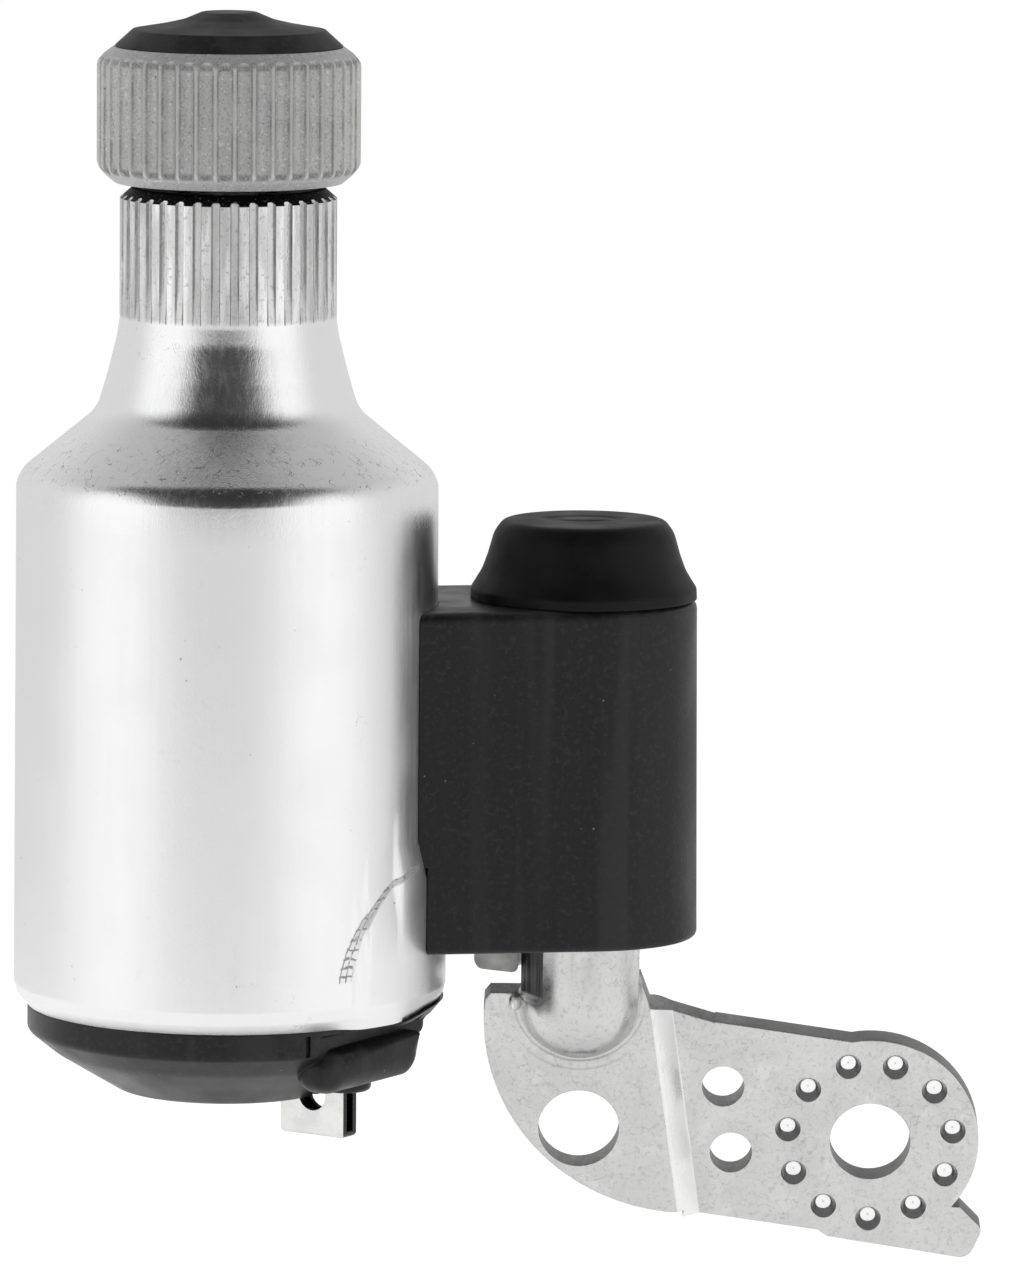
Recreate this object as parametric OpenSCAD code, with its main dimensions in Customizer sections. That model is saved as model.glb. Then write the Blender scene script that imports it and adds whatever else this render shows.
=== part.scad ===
// Bottle dynamo for a bicycle lamp: a fluted drive roller on an aluminium bottle,
// carried by a sprung swivel tower on the post of a pressed steel fork bracket.
// The model is worked out about the roller's axis, with z = 0 at the bottle's lower edge,
// X towards the swivel and Y to the wheel's side. It is then moved so that the origin is
// the centre of the bracket's main bolt hole.

/* [Bottle] */
// Outer radius of the bottle near its lower edge
bottle_r = 21.15; // [20.5:0.05:23]
// How much the radius falls from the lower edge to the shoulder
bottle_draft = 0.2; // [0:0.05:0.4]
// Height of the corner where the bottle's wall meets the shoulder
bottle_h = 53.4; // [52:0.1:60]
// Thickness of the bottle's wall
wall = 1.0; // [0.8:0.05:1.2]
// Height of the lower edge's inward curl
curl_h = 2.3; // [2:0.1:2.6]
// How far the lower edge curls in
curl_in = 1.4; // [1.2:0.05:1.5]
// Height of the sloping shoulder
shoulder_h = 6.3; // [6:0.1:8]
// Outer radius where the shoulder meets the neck's flare
shoulder_top_r = 12.9; // [12.4:0.1:14]
// Height of the neck's flare
flare_h = 8.6; // [8:0.1:11]
// Outer radius of the neck
neck_r = 10.75; // [10.4:0.05:11.4]
// Height of the grooved part of the neck
neck_h = 12.1; // [10:0.1:15]
// Height and width of the chamfer at the neck's top
neck_chamfer = 1.2; // [0.8:0.1:1.4]
// Number of grooves round the neck
neck_grooves = 36; // [24:1:40]
// Width of a neck groove
groove_w = 0.85; // [0.5:0.05:1]
// Depth of a neck groove
groove_deep = 0.3; // [0.2:0.05:0.4]
// How far the bottle is pressed out under the tower
bulge_out = 0.85; // [0.5:0.05:1]
// Radius of the round end of the pressed-out area
bulge_arc_r = 11.7; // [9:0.1:12]

/* [Roller] */
// Radius over the roller's flutes
roller_r = 13.05; // [12.6:0.05:14]
// Height of the roller
roller_h = 13.4; // [12.5:0.1:16]
// Height and width of the roller's chamfers
roller_chamfer = 1.6; // [1.2:0.1:1.8]
// Number of flutes
flutes = 42; // [30:1:44]
// Depth of a flute
flute_deep = 0.6; // [0.3:0.05:0.7]
// Width of the ridge left between two flutes
ridge_w = 0.3; // [0.2:0.05:0.5]
// Gap between the roller and the neck's top
roller_gap = 0.55; // [0.4:0.05:1]
// Height of the roller's black cap above the roller
roller_cap_h = 3.5; // [3:0.1:5]

/* [Bottom cap] */
// Height of the cap's upright side
cap_side_h = 2.5; // [2:0.1:3]
// Depth of the cap below the bottle's edge
cap_h = 8.6; // [8:0.1:9.5]
// Radius of the cap's flat bottom
cap_flat_r = 10.6; // [9:0.1:12]
// Thickness of the cap's wall
cap_wall = 1.8; // [1.4:0.1:2]

/* [Terminal] */
// Direction of the terminal from the roller's axis, in degrees
terminal_az = -33; // [-40:1:-25]
// Distance of the terminal from the roller's axis
terminal_r = 11.3; // [10.8:0.1:11.8]
// Width of the terminal strip's foot
terminal_w = 7.5; // [6.5:0.1:7.6]
// Width of the strip's neck, above the foot
terminal_neck_w = 4.4; // [3.8:0.1:4.6]
// Thickness over the folded strip
terminal_t = 2.3; // [2:0.05:2.4]
// Thickness of the strip's sheet
strip_t = 0.6; // [0.4:0.05:0.7]
// How far the strip stands out below the cap
terminal_out = 3.6; // [3:0.1:4.5]
// Radius of the hole for the lamp's wire
wire_hole_r = 1.6; // [1.2:0.05:1.8]
// How far the terminal is pulled down to free the wire
terminal_travel = 2.0; // [1.5:0.1:2.2]

/* [Swivel] */
// Distance of the swivel's axis from the roller's axis, along X
swivel_x = 35.5; // [35:0.1:38]
// Distance of the swivel's axis from the roller's axis, along Y
swivel_y = 5.6; // [4.5:0.1:6.5]
// Radius of the tower's round end near its top
tower_r = 11.35; // [11.2:0.05:12.5]
// How much the tower widens towards its foot
tower_draft = 0.3; // [0:0.05:0.5]
// Height of the tower's foot above the bottle's lower edge
tower_foot_z = 6.2; // [5.5:0.1:7]
// Height of the tower
tower_h = 34.1; // [33.5:0.1:36]
// Rounding of the tower's edges
tower_edge = 1.0; // [0.5:0.1:1.4]
// Radius of the bracket's post
post_r = 5.95; // [5.7:0.05:6.1]
// Running clearance of the post in its bearings
post_clear = 0.05; // [0.02:0.01:0.08]
// Height of the rubber dome over the button
dome_h = 7.85; // [7.2:0.05:9]
// Travel of the release button
button_travel = 2.0; // [1.5:0.1:2.2]
// Swing of the bottle away from the tyre, in degrees
swing = 25; // [15:1:28]

/* [Bracket] */
// Thickness of the bracket's sheet
sheet = 2.8; // [2:0.1:3]
// Lean of the sheet from the upright, in degrees
lean = 11.5; // [5:0.5:15]
// How far the outer plate is set back from the inner one
joggle = 2.5; // [1.5:0.1:3]
// Angle of the joggle's crease to the post, in degrees
crease_turn = 7.8; // [0:0.1:10]
// Distance of the crease from the post's axis
crease_at = 9.0; // [8.6:0.1:11]
// Radius of the inner plate's round outline
ear_r = 21; // [20:0.1:23]
// Distance of the main bolt hole from the post's axis, along the plate
bolt_u = 29.6; // [28:0.1:34]
// Distance of the main bolt hole below the post's root
bolt_w = 16.2; // [15:0.1:18]
// Radius of the main bolt hole and of the hole below the post
bolt_hole_r = 4.1; // [3.6:0.05:4.3]
// Distance of the hole below the post from the post's root
ear_hole_w = 14.0; // [13:0.1:15]
// Radius of the two small holes
small_hole_r = 2.15; // [1.6:0.05:2.3]
// Half the width of the outer plate
arm_half_w = 10.4; // [9.8:0.1:11.5]
// Radius of the outer plate's round end
arm_end_r = 11.0; // [10.4:0.1:12]
// Fall of the outer plate along its length, in degrees
arm_fall = 8.5; // [5:0.5:11]
// Number of grip pips round the bolt hole
pips = 11; // [7:1:12]
// Radius of the circle of pips
pip_circle_r = 8.45; // [7.6:0.05:8.6]
// Radius of a pip at its foot
pip_r = 1.3; // [0.9:0.05:1.4]
// Height of a pip
pip_h = 0.85; // [0.5:0.05:1]

/* [Inside] */
// Radius of the rotor's shaft
shaft_r = 3.0; // [2.5:0.05:3.2]
// Running clearance of the shaft in its bushes
shaft_clear = 0.04; // [0.02:0.01:0.08]
// Radius of the magnet
magnet_r = 8.5; // [8:0.1:9.4]
// Height of the coil with its two pole pieces
stack_h = 28; // [24:0.5:40]
// Air gap between the magnet and the claw poles
air_gap = 0.5; // [0.4:0.05:0.7]
// Number of claws on each pole cup
claws = 4; // [3:1:5]
// Thickness of the pole cups' sheet
pole_t = 1.2; // [1:0.1:1.3]
// Wire radius of the swing spring
swing_wire_r = 0.7; // [0.5:0.05:0.75]

/* [Hidden] */
$fn = 96;

// Clearance between pieces that are seated together
seat = 0.05;
// Clearance between pieces that move past each other
free_gap = 0.35;
// Overrun of a cutter past the face that it cuts
cut = 1;

// Heights on the bottle
shoulder_top_z = bottle_h + shoulder_h;
neck_z = shoulder_top_z + flare_h;
neck_top_z = neck_z + neck_h + neck_chamfer;
bottle_top_r = bottle_r - bottle_draft;
neck_bore_r = neck_r - neck_chamfer - 0.6;

// Heights on the roller
roller_z = neck_top_z + roller_gap;
roller_top_z = roller_z + roller_h;
roller_rim_r = roller_r - roller_chamfer;
roller_recess_r = 9.4;
roller_web_z = roller_z + 1.8;
roller_web_t = 4;
thread_r = shaft_r - 0.5;
washer_t = 0.8;
nut_h = 3.2;
nut_r = 4.6;

// The swivel's direction from the roller's axis
swivel_az = atan2(swivel_y, swivel_x);
swivel_at = norm([swivel_x, swivel_y]);
tower_top_z = tower_foot_z + tower_h;
chamber_r = tower_r - 2.2;
bearing_r = post_r + post_clear;
sleeve_r = bearing_r + 1.6;
sleeve_h = 8.8;
sleeve_top_z = tower_foot_z + sleeve_h;
chamber_h = 10.3;
web_top_z = tower_top_z - chamber_h;
button_spring_r = chamber_r - 1.2;
button_head_r = chamber_r - 0.8;
button_crown_r = button_head_r - 0.95;
web_t = 3;
spring_room = 0.25;

// The screws that hold the tower to the bottle
screw_r = 1.2;
screw_l = 7.3;
screw_head_h = 1.2;
screw_z = [tower_foot_z + 6, tower_foot_z + 20];

// The post's root, where the sheet's front face meets the post's axis
root_z = -0.5;
root = [swivel_x, swivel_y, root_z];

// The bolt hole's centre, half way through the outer plate
bolt_depth = joggle + sheet / 2;
origin = root + [bolt_u,
  bolt_w * sin(lean) + bolt_depth * cos(lean),
  -bolt_w * cos(lean) + bolt_depth * sin(lean)];

// The stack inside the bottle, from the bottom cap up
plate_z = 4.3;
plate_t = 2;
stack_z = plate_z + plate_t;
stack_top_z = stack_z + stack_h;
bush_r = 5;
bush_wall = 1.6;
upper_bush_h = 9;
lower_bush_h = 6.8;
bobbin_wall = 1;
winding_gap = 0.5;
flange_t = 1.2;
fit_gap = 0.3;
cup_r = bottle_top_r - wall - 1.4;
claw_r = magnet_r + air_gap;
bobbin_r = claw_r + pole_t + fit_gap;
winding_r = cup_r - pole_t - fit_gap - winding_gap;
hub_wall = 1.8;
magnet_z = plate_z + 0.2 + lower_bush_h + 1.2;
magnet_top_z = stack_top_z - pole_t - 2;

// The flat face and the top of the bar on the cap
bar_face = bottle_r - 3.85;
bar_top_z = -2.5;

// The terminal's heights, and its clearance in the cap
guide_gap = 0.15;
guide_wall = 1.7;
spigot_wall = 1.4;
terminal_z = -cap_h - terminal_out;
terminal_head_z = -0.9;
terminal_seat_z = -cap_h + 3;
terminal_ledge_z = terminal_seat_z - 0.7;
terminal_wire_r = 0.3;
terminal_spring_r = norm([terminal_neck_w, terminal_t]) / 2 + terminal_wire_r + 0.25;

// Tools for outlines

// The arc that rounds the corner b between a and c, as a list of points
function corner(a, b, c, r, n = 5) = r <= 0 ? [b] : let (
  u = (a - b) / norm(a - b),
  v = (c - b) / norm(c - b),
  half = acos(u * v) / 2,
  middle = b + (u + v) / norm(u + v) * r / sin(half),
  from = b + u * r / tan(half) - middle,
  to = b + v * r / tan(half) - middle,
  a0 = atan2(from[1], from[0]),
  turn = (atan2(to[1], to[0]) - a0 + 540) % 360 - 180)
  [for (i = [0:n]) middle + r * [cos(a0 + turn * i / n), sin(a0 + turn * i / n)]];

// A closed outline from a list of [x, y, radius], with its corners rounded
function rounded(p) = [for (i = [0:len(p) - 1]) let (
  q = p[(i + len(p) - 1) % len(p)],
  s = p[(i + 1) % len(p)])
  each corner([q[0], q[1]], [p[i][0], p[i][1]], [s[0], s[1]], p[i][2])];

// A round wire of radius r along the points, as one closed mesh of six sides
module wire(points, r, sides = 6) {
  n = len(points);
  ring = [for (i = [0:n - 1]) let (
    ahead = points[min(i + 1, n - 1)] - points[max(i - 1, 0)],
    t = ahead / norm(ahead),
    side = cross(t, [0, 0, 1]) / norm(cross(t, [0, 0, 1])),
    top = cross(side, t))
    each [for (k = [0:sides - 1]) points[i]
      + r * (side * cos(360 * k / sides) + top * sin(360 * k / sides))]];
  walls = [for (i = [0:n - 2], k = [0:sides - 1]) let (
    a = i * sides + k,
    b = i * sides + (k + 1) % sides)
    each [[a, b, b + sides], [a, b + sides, a + sides]]];
  start = [for (k = [1:sides - 2]) [0, k + 1, k]];
  end = [for (k = [1:sides - 2]) [(n - 1) * sides, (n - 1) * sides + k, (n - 1) * sides + k + 1]];
  polyhedron(ring, concat(walls, start, end), convexity = 6);
}

// The points of a coil about the Z axis, with a whole flat turn at each end
function coil(r, z0, z1, turns, per_turn) = [for (i = [0:turns * per_turn]) let (
  t = i / per_turn,
  rise = min(max(t - 1, 0), turns - 2) / (turns - 2))
  [r * cos(360 * t), r * sin(360 * t), z0 + (z1 - z0) * rise]];

// The least gap between turns of a coil of n turns in all that rises by h over n - 2
function coil_gap(h, n, r) = h / (n - 2) - 2 * r;

module at_swivel() {
  translate([swivel_x, swivel_y, 0]) rotate(swivel_az) children();
}

module at_terminal() {
  rotate(terminal_az) translate([terminal_r, 0, 0]) children();
}

// Puts a piece worked out about the roller's axis into the part's own frame
module place() {
  translate(-origin) children();
}

// The sheet's own frame: x along the plate, y up the plate, z out of its front face
module on_sheet() {
  translate(root) rotate([90 + lean, 0, 0]) children();
}

// The roller and what turns with it

module flute_outline() {
  pitch = 360 / flutes;
  half_ridge = ridge_w / roller_r * 90 / PI;
  deep_r = roller_r - flute_deep;
  polygon([for (i = [0:flutes - 1]) each [
    roller_r * [cos(i * pitch - half_ridge), sin(i * pitch - half_ridge)],
    roller_r * [cos(i * pitch + half_ridge), sin(i * pitch + half_ridge)],
    deep_r * [cos((i + 0.5) * pitch), sin((i + 0.5) * pitch)]]]);
}

module roller() {
  web_top_z = roller_web_z + roller_web_t;
  color("darkgray") place() difference() {
    intersection() {
      translate([0, 0, roller_z]) linear_extrude(roller_h) flute_outline();
      rotate_extrude() polygon([
        [0, roller_z],
        [roller_rim_r, roller_z],
        [roller_r + 0.01, roller_z + roller_chamfer],
        [roller_r + 0.01, roller_top_z - roller_chamfer],
        [roller_rim_r, roller_top_z],
        [0, roller_top_z]]);
    }
    translate([0, 0, roller_z - cut]) cylinder(h = roller_web_z - roller_z + cut, r = roller_recess_r);
    translate([0, 0, web_top_z]) cylinder(h = roller_top_z, r = roller_recess_r);
    translate([0, 0, roller_z]) cylinder(h = roller_h, r = thread_r + seat);
  }
}

module roller_cap() {
  base_r = roller_rim_r - 0.05;
  top_z = roller_top_z + roller_cap_h;
  plug_r = roller_recess_r - seat;
  color("dimgray") place() rotate_extrude() polygon(concat(
    [[0, roller_top_z - 1.2], [plug_r - 1.5, roller_top_z - 1.2], [plug_r - 1.5, roller_top_z - 3],
     [plug_r, roller_top_z - 3], [plug_r, roller_top_z], [base_r, roller_top_z]],
    rounded([
      [base_r, roller_top_z + 0.35, 0.2],
      [base_r - 2.1, roller_top_z + 0.49 * roller_cap_h, 0.6],
      [6.4, roller_top_z + 0.66 * roller_cap_h, 9],
      [2.9, top_z - 0.1, 0.5],
      [0, top_z, 0]])));
}

module roller_nut() {
  nut_z = roller_web_z + roller_web_t;
  color("silver") place() translate([0, 0, nut_z]) difference() {
    union() {
      cylinder(h = washer_t, r = nut_r + 0.3);
      translate([0, 0, washer_t]) cylinder(h = nut_h, r = nut_r, $fn = 6);
    }
    translate([0, 0, -cut]) cylinder(h = washer_t + nut_h + 2 * cut, r = thread_r + seat);
  }
}

// The rubber ring that throws water off between the roller and the neck
module slinger_ring() {
  color("black") place() rotate_extrude() polygon([
    [shaft_r + seat, roller_web_z],
    [shaft_r + seat, neck_top_z + 0.9],
    [roller_recess_r - 1.6, neck_top_z + 0.9],
    [roller_recess_r - 0.9, neck_top_z + 0.3],
    [roller_recess_r - seat, neck_top_z + 0.3],
    [roller_recess_r - seat, roller_web_z]]);
}

module rotor_shaft() {
  foot_z = plate_z + 0.3;
  thread_top_z = roller_web_z + roller_web_t + washer_t + nut_h + 0.6;
  color("silver") place() rotate_extrude() polygon([
    [0, foot_z],
    [shaft_r - 0.4, foot_z],
    [shaft_r, foot_z + 0.4],
    [shaft_r, roller_web_z],
    [thread_r, roller_web_z],
    [thread_r, thread_top_z - 0.5],
    [thread_r - 0.5, thread_top_z],
    [0, thread_top_z]]);
}

module tube(z0, z1, inner, outer) {
  translate([0, 0, z0]) difference() {
    cylinder(h = z1 - z0, r = outer);
    translate([0, 0, -cut]) cylinder(h = z1 - z0 + 2 * cut, r = inner);
  }
}

module magnet_hub() {
  color("ivory") place() tube(magnet_z - 0.8, magnet_top_z + 0.8, shaft_r + 0.01, shaft_r + hub_wall);
}

module rotor_magnet() {
  color("darkslategray") place() tube(magnet_z, magnet_top_z, shaft_r + hub_wall + 0.02, magnet_r);
}

// The bottle

// Half of the bottle's section: its outer side, brought in by t
function bottle_side(t) = [
  [bottle_r - t, curl_h, 1.2],
  [bottle_top_r - t, bottle_h - t * 0.6, 2.3],
  [shoulder_top_r - t, shoulder_top_z - t * 0.6, 2.4],
  [neck_r - t, neck_z - t * 0.6, 3]];

module neck_groove() {
  translate([neck_r - groove_deep, 0, neck_z + groove_w]) rotate([90, 0, 90]) linear_extrude(cut) {
    circle(r = groove_w / 2, $fn = 32);
    translate([-groove_w / 2, 0]) square([groove_w, neck_h + neck_chamfer]);
  }
}

// The area pressed out under the tower: two round-ended windows side by side
module bulge_window(side) {
  window_z = 3.3;
  reach = bottle_r + 2;
  rotate(side * 33.4) rotate([90, 0, 90]) linear_extrude(reach) {
    translate([0, window_z]) circle(r = bulge_arc_r);
    translate([-bulge_arc_r, 0]) square([2 * bulge_arc_r, window_z]);
  }
}

module bulge(r, z0, z1) {
  intersection() {
    translate([bulge_out, 0, z0]) cylinder(h = z1 - z0, r = r);
    union() {
      bulge_window(-1);
      bulge_window(1);
      translate([0, -bulge_arc_r, 0]) cube([bottle_r + 2, 2 * bulge_arc_r, bulge_arc_r + 3.3]);
    }
  }
}

module bottle_shell() {
  side = bottle_side(0);
  inside = bottle_side(wall);
  color("gainsboro") place() difference() {
    union() {
      rotate_extrude() polygon(rounded(concat(
        [[bottle_r - curl_in - wall, 0, 0], [bottle_r - curl_in, 0, 0], [bottle_r - 0.35, 1.15, 0.8]],
        side,
        [[neck_r, neck_top_z - neck_chamfer, 0.15],
         [neck_r - neck_chamfer, neck_top_z, 0],
         [neck_bore_r, neck_top_z, 0],
         [neck_bore_r, neck_z, 0],
         [inside[2][0], inside[2][1], 1],
         [inside[1][0], inside[1][1], 1],
         [inside[0][0], inside[0][1], 0.5]])));
      rotate(swivel_az) difference() {
        bulge(bottle_r, 0.3, bottle_h / 2);
        translate([0, 0, -cut]) cylinder(h = bottle_h, r = bottle_r - wall + 0.02);
      }
    }
    for (i = [0:neck_grooves - 1]) rotate(i * 360 / neck_grooves) neck_groove();
    rotate(swivel_az) screw_holes(screw_r + 0.4);
  }
}

module neck_bearing_holder() {
  color("silver") place() tube(neck_z + 0.2, neck_top_z - 0.4, bush_r + seat, neck_bore_r - seat);
}

module upper_bush() {
  color("peru") place() tube(neck_top_z - upper_bush_h, neck_top_z - 0.6, shaft_r + shaft_clear, bush_r);
}

module felt_ring() {
  color("wheat") place() tube(neck_z + 0.4, neck_top_z - upper_bush_h - seat, shaft_r + 0.15, bush_r);
}

module lower_bush() {
  color("peru") place() tube(plate_z + 0.2, plate_z + 0.2 + lower_bush_h, shaft_r + shaft_clear, bush_r);
}

module bearing_plate() {
  color("silver") place() {
    tube(plate_z, stack_z, bush_r + seat, bottle_r - wall - 0.2);
    tube(stack_z, plate_z + lower_bush_h - 0.8, bush_r + seat, bush_r + bush_wall);
  }
}

// The claw poles

// The notches between the claws, cut through a cup's inner wall and its disc
module claw_gaps(z0, z1, turn) {
  half = (360 / claws - (180 / claws - 11)) / 2;
  reach = (claw_r + pole_t + cut) / cos(half);
  for (i = [0:claws - 1]) rotate(turn + (i + 0.5) * 360 / claws)
    translate([0, 0, z0]) linear_extrude(z1 - z0)
      polygon([[0, 0], reach * [cos(half), -sin(half)], reach * [cos(half), sin(half)]]);
}

module lower_pole_cup() {
  disc_z = stack_z + 0.1;
  rim_z = stack_top_z - pole_t - 0.1;
  color("slategray") place() difference() {
    rotate_extrude() polygon([
      [claw_r, disc_z], [cup_r, disc_z], [cup_r, rim_z], [cup_r - pole_t, rim_z],
      [cup_r - pole_t, disc_z + pole_t], [claw_r + pole_t, disc_z + pole_t],
      [claw_r + pole_t, magnet_top_z], [claw_r, magnet_top_z]]);
    claw_gaps(disc_z - cut, magnet_top_z + cut, 90 / claws);
  }
}

module upper_pole_cup() {
  rim_r = bottle_top_r - wall - 0.1;
  color("slategray") place() difference() {
    rotate_extrude() polygon([
      [claw_r, magnet_z], [claw_r + pole_t, magnet_z], [claw_r + pole_t, stack_top_z - pole_t],
      [rim_r, stack_top_z - pole_t], [rim_r, stack_top_z], [claw_r, stack_top_z]]);
    claw_gaps(magnet_z - cut, stack_top_z + cut, 270 / claws);
  }
}

module coil_bobbin() {
  bottom_z = stack_z + 0.1 + pole_t + fit_gap;
  top_z = stack_top_z - pole_t - fit_gap;
  flange_r = cup_r - pole_t - fit_gap;
  color("khaki") place() {
    tube(bottom_z, bottom_z + flange_t, bobbin_r, flange_r);
    tube(bottom_z + flange_t, top_z - flange_t, bobbin_r, bobbin_r + bobbin_wall);
    tube(top_z - flange_t, top_z, bobbin_r, flange_r);
  }
}

module coil_winding() {
  bottom_z = stack_z + 0.1 + pole_t + fit_gap + flange_t;
  top_z = stack_top_z - pole_t - fit_gap - flange_t;
  color("chocolate") place()
    tube(bottom_z + seat, top_z - seat, bobbin_r + bobbin_wall + seat, winding_r);
}

// The bottom cap

// The flat-faced bar moulded across the cap outside the terminal
module cap_bar() {
  bar_foot_z = bar_top_z - 3.6;
  left = -7.7;
  right = 9.5;
  rotate(terminal_az) intersection() {
    // Its section, which rises towards the square end
    rotate([2.3, 0, 0]) translate([0, bottle_r, 0]) rotate([90, 0, 0]) linear_extrude(2 * bottle_r)
      polygon(rounded([
        [bar_face - 7, bar_top_z, 0],
        [bar_face, bar_top_z, 0.5],
        [bar_face, bar_foot_z, 1],
        [bar_face - 7, bar_foot_z, 0]]));
    // Its outline from above, with the round nose
    translate([0, 0, -cap_h]) linear_extrude(cap_h) polygon(rounded([
      [bar_face - 8, left, 0], [bar_face, left, 3.2], [bar_face, right, 0.5], [bar_face - 8, right, 0]]));
    // Its outline from outside
    rotate([90, 0, 90]) linear_extrude(bottle_r) polygon(rounded([
      [left, 0, 0], [left, bar_foot_z - 0.4, 2.2], [right, bar_foot_z + 0.2, 1.4], [right, 0, 0]]));
  }
}

// The small boss that closes the terminal's guide from outside
module cap_boss() {
  boss_r = 2.65;
  boss_foot_z = -cap_h + 0.8;
  rotate(terminal_az) translate([terminal_r + 3.1, 0, boss_foot_z]) {
    translate([0, 0, 0.5]) cylinder(h = -cap_side_h - boss_foot_z, r = boss_r);
    rotate_extrude() {
      translate([boss_r - 0.5, 0.5]) circle(r = 0.5, $fn = 24);
      square([boss_r - 0.5, 1]);
    }
  }
}

module bottom_cap() {
  side_r = bottle_r - curl_in + 0.05;
  spigot_r = bottle_r - curl_in - wall - seat;
  flange_r = bottle_r - wall - 0.2;
  inner_flat_r = cap_flat_r - 0.5;
  guide_r = terminal_w / 2 + guide_wall;
  bore_r = spigot_r - spigot_wall;
  color("black") place() difference() {
    union() {
      difference() {
        union() {
          rotate_extrude() polygon(rounded([
            [0, -cap_h, 0],
            [cap_flat_r, -cap_h, 3],
            [side_r, -cap_side_h, 1.2],
            [side_r, 0, 0],
            [spigot_r, 0, 0],
            [spigot_r, curl_h + 0.2, 0],
            [flange_r, curl_h + 0.2, 0],
            [flange_r, plate_z, 0],
            [0, plate_z, 0]]));
          cap_bar();
          cap_boss();
          cap_lip();
        }
        // The room inside
        rotate_extrude() polygon([
          [0, -cap_h + cap_wall],
          [inner_flat_r, -cap_h + cap_wall],
          [bore_r, -cap_side_h + cap_wall / 2],
          [bore_r, plate_z + cut],
          [0, plate_z + cut]]);
      }
      // The terminal's guide
      intersection() {
        at_terminal() translate([0, 0, -cap_h]) cylinder(h = terminal_seat_z + cap_h, r = guide_r);
        rotate_extrude() polygon([
          [0, -cap_h],
          [cap_flat_r, -cap_h],
          [side_r - cap_wall / 2, -cap_side_h],
          [side_r - cap_wall / 2, 0],
          [0, 0]]);
      }
    }
    at_terminal() {
      slot(terminal_w, -cap_h - cut, terminal_ledge_z);
      slot(terminal_neck_w, -cap_h, terminal_seat_z + cut);
      // The well for the terminal's spring
      translate([0, 0, terminal_seat_z])
        cylinder(h = cap_h, r = terminal_spring_r + terminal_wire_r + fit_gap);
    }
    cap_recess();
  }
}

// The terminal's way through the cap, w wide
module slot(w, z0, z1) {
  translate([-w / 2 - guide_gap, -terminal_t / 2 - guide_gap, z0])
    cube([w + 2 * guide_gap, terminal_t + 2 * guide_gap, z1 - z0]);
}

// The flat above the bar, and the upright slot at its end
module cap_recess() {
  recess_z = bar_top_z + 0.3;
  rotate(terminal_az) translate([bar_face + 0.1, -bottle_r / 2, recess_z]) cube([6, bottle_r, -recess_z - 0.5]);
  rotate(-64) translate([bottle_r - curl_in - 0.5, -0.25, -cap_side_h]) cube([2, 0.5, cap_side_h - 0.4]);
}

// The lip that closes the bottle's pressed-out area from below
module cap_lip() {
  lip_r = bottle_r - 0.35;
  rotate(swivel_az) difference() {
    intersection() {
      translate([bulge_out, 0, -1.7]) cylinder(h = 2, r1 = bottle_r - curl_in - bulge_out, r2 = lip_r);
      translate([0, -15, -2]) cube([bottle_r + 2, 30, 2.3]);
    }
    translate([0, 0, -2 - cut]) cylinder(h = 4, r = bottle_r - curl_in - wall - 0.5);
    translate([0, 0, 0]) cylinder(h = 2, r = bottle_r + 0.02);
  }
}

// The terminal: a strip folded in a U, with two turned-out ears that its spring pushes up
module terminal_strip() {
  inner = terminal_t - 2 * strip_t;
  ear_out = terminal_spring_r + terminal_wire_r;
  hole_z = terminal_z + 2.5 + wire_hole_r;
  neck = terminal_neck_w / 2;
  foot = terminal_w / 2;
  shoulder_z = terminal_ledge_z - seat;
  color("silver") place() at_terminal() difference() {
    union() {
      intersection() {
        translate([-foot, 0, terminal_z]) rotate([90, 0, 90]) linear_extrude(terminal_w)
          difference() {
            polygon(rounded([
              [-terminal_t / 2, 0, 0.35],
              [terminal_t / 2, 0, 0.35],
              [terminal_t / 2, terminal_head_z - terminal_z, 0],
              [-terminal_t / 2, terminal_head_z - terminal_z, 0]]));
            translate([-inner / 2, strip_t]) square([inner, 40]);
          }
        translate([0, terminal_t, 0]) rotate([90, 0, 0]) linear_extrude(2 * terminal_t) polygon(rounded([
          [-foot, terminal_z, 0.4], [foot, terminal_z, 0.4],
          [foot, shoulder_z, 0.3], [neck, shoulder_z, 0],
          [neck, terminal_head_z, 0], [-neck, terminal_head_z, 0],
          [-neck, shoulder_z, 0], [-foot, shoulder_z, 0.3]]));
      }
      for (s = [-1, 1]) translate([-neck, s > 0 ? inner / 2 : -ear_out, terminal_head_z])
        cube([terminal_neck_w, ear_out - inner / 2, strip_t]);
    }
    translate([0, terminal_t, hole_z]) rotate([90, 0, 0]) cylinder(h = 2 * terminal_t, r = wire_hole_r);
  }
}

module terminal_spring() {
  turns = 5;
  bottom_z = terminal_seat_z + terminal_wire_r + 0.02;
  top_z = terminal_head_z - terminal_wire_r - 0.02;
  echo(terminal_spring_gap = coil_gap(top_z - bottom_z, turns, terminal_wire_r));
  color("gray") place() at_terminal()
    wire(coil(terminal_spring_r, bottom_z, top_z, turns, 16), terminal_wire_r);
}

// The swivel tower

// One side of the tower's section: [distance from the axis, height, rounding]
function tower_side() = [
  [tower_r + tower_draft, tower_foot_z, 0.6],
  [tower_r, tower_top_z, tower_edge]];

module screw_holes(r) {
  for (z = screw_z) translate([bottle_r - 5, 0, z]) rotate([0, 90, 0]) cylinder(h = 10, r = r);
}

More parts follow.
